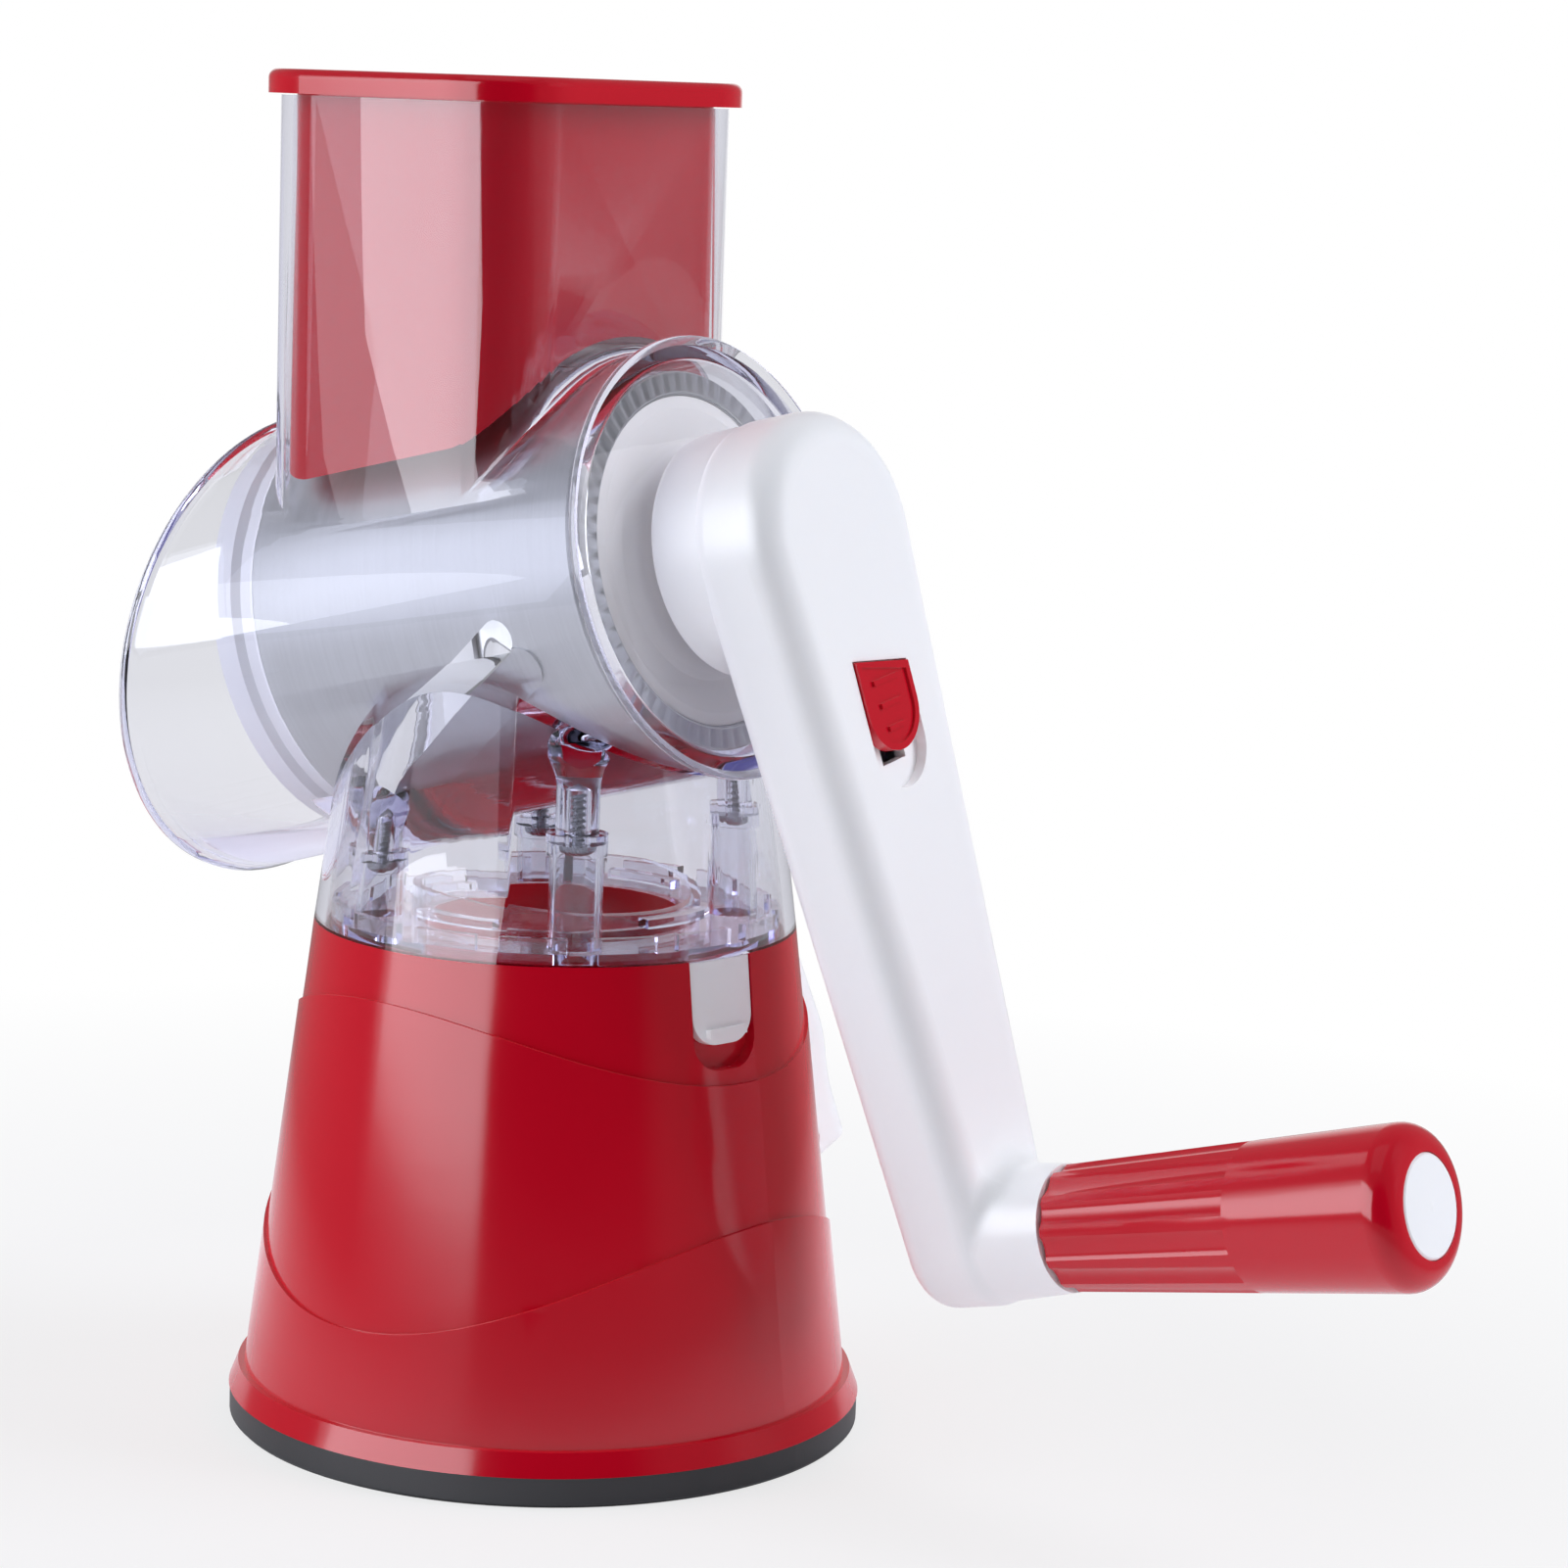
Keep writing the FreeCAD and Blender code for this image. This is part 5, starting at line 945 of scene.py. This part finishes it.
look = Vector((-math.sin(CAMERA_HEADING) * math.cos(CAMERA_PITCH),
               math.cos(CAMERA_HEADING) * math.cos(CAMERA_PITCH), -math.sin(CAMERA_PITCH)))
level_right = Vector((math.cos(CAMERA_HEADING), math.sin(CAMERA_HEADING), 0))
level_up = level_right.cross(look)
right = level_right * math.cos(CAMERA_ROLL) + level_up * math.sin(CAMERA_ROLL)
up = level_up * math.cos(CAMERA_ROLL) - level_right * math.sin(CAMERA_ROLL)
camera_data = bpy.data.cameras.new("camera")
camera_data.lens = LENS_MM
camera_data.sensor_width = SENSOR_MM
camera = bpy.data.objects.new("camera", camera_data)
camera.matrix_world = Matrix((
    (right.x, up.x, -look.x, CAMERA_PLACE.x),
    (right.y, up.y, -look.y, CAMERA_PLACE.y),
    (right.z, up.z, -look.z, CAMERA_PLACE.z),
    (0, 0, 0, 1)))
bpy.context.scene.collection.objects.link(camera)
bpy.context.scene.camera = camera
print("camera at", [round(part, 3) for part in CAMERA_PLACE])

# %% [markdown]
# Studio floor and light
#
# A pale floor catches a soft shadow. Two large soft boxes stand at the left, one just in front of the
# other. The back one lights the object, and the front one only feeds the gloss: it gives the broad pale
# reflection on the pusher and the foot. A weak box hangs above, and two fills at the sides, which no gloss
# mirrors, lighten the shadows. The floor and the world are white where the camera sees them and a little
# less so through the clear plastic, and the studio behind the camera is dark, so the gloss keeps its deep
# colour.

# %% The floor
FLOOR_RADIUS = 1.1
# The floor turns from a matt one, which shows the shadow, to plain white between these radii
SHADOW_RADIUS, WHITE_RADIUS = 0.16, 0.42
# The share of plain white next to the object, and how bright the far floor is in a glossy surface
WHITE_AT_OBJECT, FLOOR_IN_GLOSS = 0.72, 0.26
# How bright the backdrop and the far floor are where the clear plastic shows them
BEHIND_CLEAR = 0.87


def make_floor():
    """A round floor under the object, which isn't part of it."""
    bpy.ops.object.select_all(action="DESELECT")
    bpy.ops.mesh.primitive_circle_add(vertices=96, radius=FLOOR_RADIUS, fill_type="NGON", location=(0, 0, 0))
    floor = bpy.context.object
    floor.name = "studio_floor"
    material, tree, output, place = new_material("pale_floor")
    reach = add_node(tree, "ShaderNodeVectorMath", {0: place}, operation="LENGTH")
    fading = add_node(tree, "ShaderNodeMapRange", {
        "Value": reach.outputs["Value"], "From Min": SHADOW_RADIUS, "From Max": WHITE_RADIUS,
        "To Min": WHITE_AT_OBJECT, "To Max": 1.0})
    rays = add_node(tree, "ShaderNodeLightPath")
    seen = add_node(tree, "ShaderNodeMath", {
        0: rays.outputs["Is Camera Ray"], 1: rays.outputs["Is Transmission Ray"]}, operation="MAXIMUM")
    share = add_node(tree, "ShaderNodeMath", {
        0: seen.outputs["Value"], 1: fading.outputs["Result"]}, operation="MULTIPLY")
    matt = add_node(tree, "ShaderNodeBsdfDiffuse", {"Color": linear("#CFCFD2")})
    level = add_node(tree, "ShaderNodeMix", {
        "Factor": rays.outputs["Is Transmission Ray"], "A": 1.0, "B": BEHIND_CLEAR}, data_type="FLOAT")
    white = add_node(tree, "ShaderNodeEmission", {
        "Color": linear("#FFFFFF"), "Strength": level.outputs["Result"]})
    mixed = add_node(tree, "ShaderNodeMixShader", {
        "Fac": share.outputs["Value"], 1: matt.outputs["BSDF"], 2: white.outputs["Emission"]})
    far = add_node(tree, "ShaderNodeMapRange", {
        "Value": reach.outputs["Value"], "From Min": SHADOW_RADIUS, "From Max": WHITE_RADIUS})
    mirrored = add_node(tree, "ShaderNodeMath", {
        0: rays.outputs["Is Glossy Ray"], 1: rays.outputs["Is Reflection Ray"]}, operation="MULTIPLY")
    glossed = add_node(tree, "ShaderNodeMath", {
        0: mirrored.outputs["Value"], 1: far.outputs["Result"]}, operation="MULTIPLY")
    dim = add_node(tree, "ShaderNodeEmission", {"Color": linear("#FFFFFF"), "Strength": FLOOR_IN_GLOSS})
    room = add_node(tree, "ShaderNodeMixShader", {
        "Fac": glossed.outputs["Value"], 1: mixed.outputs["Shader"], 2: dim.outputs["Emission"]})
    tree.links.new(room.outputs["Shader"], output.inputs["Surface"])
    floor.data.materials.append(material)


make_floor()

# %% Soft boxes
# The height that every soft box faces, about the middle of the object
AIM_HEIGHT = 0.14


def soft_box(name, azimuth, elevation, distance, width, height, glow):
    """A soft box that faces the object; its glow is the brightness of its face, where 1 is white.

    The azimuth in degrees is 0 on the side of -Y and grows towards +X.
    """
    turn, lift = math.radians(azimuth), math.radians(elevation)
    way = Vector((math.sin(turn) * math.cos(lift), -math.cos(turn) * math.cos(lift), math.sin(lift)))
    data = bpy.data.lights.new(name, "AREA")
    data.shape = "RECTANGLE"
    data.size, data.size_y = width, height
    data.energy = glow * math.pi * width * height
    data.color = linear("#F5F8FF")[:3]
    lamp = bpy.data.objects.new(name, data)
    lamp.location = way * distance + Vector((0, 0, AIM_HEIGHT))
    lamp.rotation_euler = way.to_track_quat("Z", "Y").to_euler()
    bpy.context.scene.collection.objects.link(lamp)
    return lamp


soft_box("soft_box_left", azimuth=-18, elevation=15, distance=1.35, width=1.5, height=1.0, glow=1.5)
front_box = soft_box(
    "soft_box_front", azimuth=-15, elevation=15, distance=1.34, width=1.42, height=1.0, glow=4.0)
front_box.visible_transmission = False
front_box.visible_diffuse = False
soft_box("soft_box_top", azimuth=20, elevation=80, distance=1.3, width=1.0, height=1.0, glow=0.3)
fill_boxes = (
    soft_box("fill_left", azimuth=-50, elevation=28, distance=1.6, width=1.2, height=1.3, glow=3.2),
    soft_box("fill_right", azimuth=122, elevation=30, distance=1.6, width=0.7, height=1.4, glow=7.2))
for fill_box in fill_boxes:
    fill_box.visible_glossy = False
    fill_box.visible_transmission = False

# %% [markdown]
# The room around the object
#
# The world is the room that the light and the reflections come from. It gets brighter from behind the
# camera to behind the object, but each kind of ray sees another ramp: a glossy one sees the studio's walls,
# one that comes through clear plastic sees the backdrop, and the others see the light that fills the room.
# The camera itself sees plain white.

# %% The world
# Brightness at places from behind the camera (0) to behind the object (1): what gloss mirrors, what shows
# through clear plastic, and the light that fills the room
studio_walls = ((0.0, 0.01), (0.12, 0.02), (0.19, 0.20), (0.95, 0.26), (0.99, 1.0))
behind_clear = ((0.0, 0.1), (0.2, 0.2), (0.6, 0.4), (0.75, BEHIND_CLEAR))
studio_fill = ((0.0, 0.05), (0.25, 0.07), (0.5, 0.28), (0.75, 0.7), (1.0, 0.9))


def walls_of(tree, share, levels):
    """A ramp of brightness round the room."""
    walls = add_node(tree, "ShaderNodeValToRGB", {"Fac": share})
    while len(walls.color_ramp.elements) < len(levels):
        walls.color_ramp.elements.new(0.5)
    for element, (position, level) in zip(walls.color_ramp.elements, levels):
        element.position = position
        element.color = (level, level, level, 1.0)
    return walls.outputs["Color"]


def make_world():
    """The room: one ramp of brightness for each kind of ray, and plain white for the camera."""
    world = bpy.data.worlds.new("studio")
    world.use_nodes = True
    tree = world.node_tree
    tree.nodes.clear()
    output = add_node(tree, "ShaderNodeOutputWorld")
    rays = add_node(tree, "ShaderNodeLightPath")
    way = add_node(tree, "ShaderNodeTexCoord").outputs["Generated"]
    ahead = Vector((look.x, look.y, 0)).normalized()
    behind = add_node(tree, "ShaderNodeVectorMath", {0: way, 1: ahead}, operation="DOT_PRODUCT")
    share = add_node(tree, "ShaderNodeMapRange", {
        "Value": behind.outputs["Value"], "From Min": -1.0, "From Max": 1.0})
    fill = add_node(tree, "ShaderNodeMix", {
        "Factor": rays.outputs["Is Glossy Ray"], "A": walls_of(tree, share.outputs["Result"], studio_fill),
        "B": walls_of(tree, share.outputs["Result"], studio_walls)}, data_type="FLOAT")
    clear = add_node(tree, "ShaderNodeMix", {
        "Factor": rays.outputs["Is Transmission Ray"], "A": fill.outputs["Result"],
        "B": walls_of(tree, share.outputs["Result"], behind_clear)}, data_type="FLOAT")
    trapped = trapped_ray(tree, rays)
    white = add_node(tree, "ShaderNodeMath", {
        0: rays.outputs["Is Camera Ray"], 1: trapped.outputs["Value"]}, operation="MAXIMUM")
    strength = add_node(tree, "ShaderNodeMix", {
        "Factor": white.outputs["Value"], "A": clear.outputs["Result"], "B": 1.0}, data_type="FLOAT")
    sky = add_node(tree, "ShaderNodeBackground", {
        "Color": linear("#FFFFFF"), "Strength": strength.outputs["Result"]})
    tree.links.new(sky.outputs["Background"], output.inputs["Surface"])
    bpy.context.scene.world = world


make_world()
bpy.context.scene.view_settings.view_transform = "Standard"
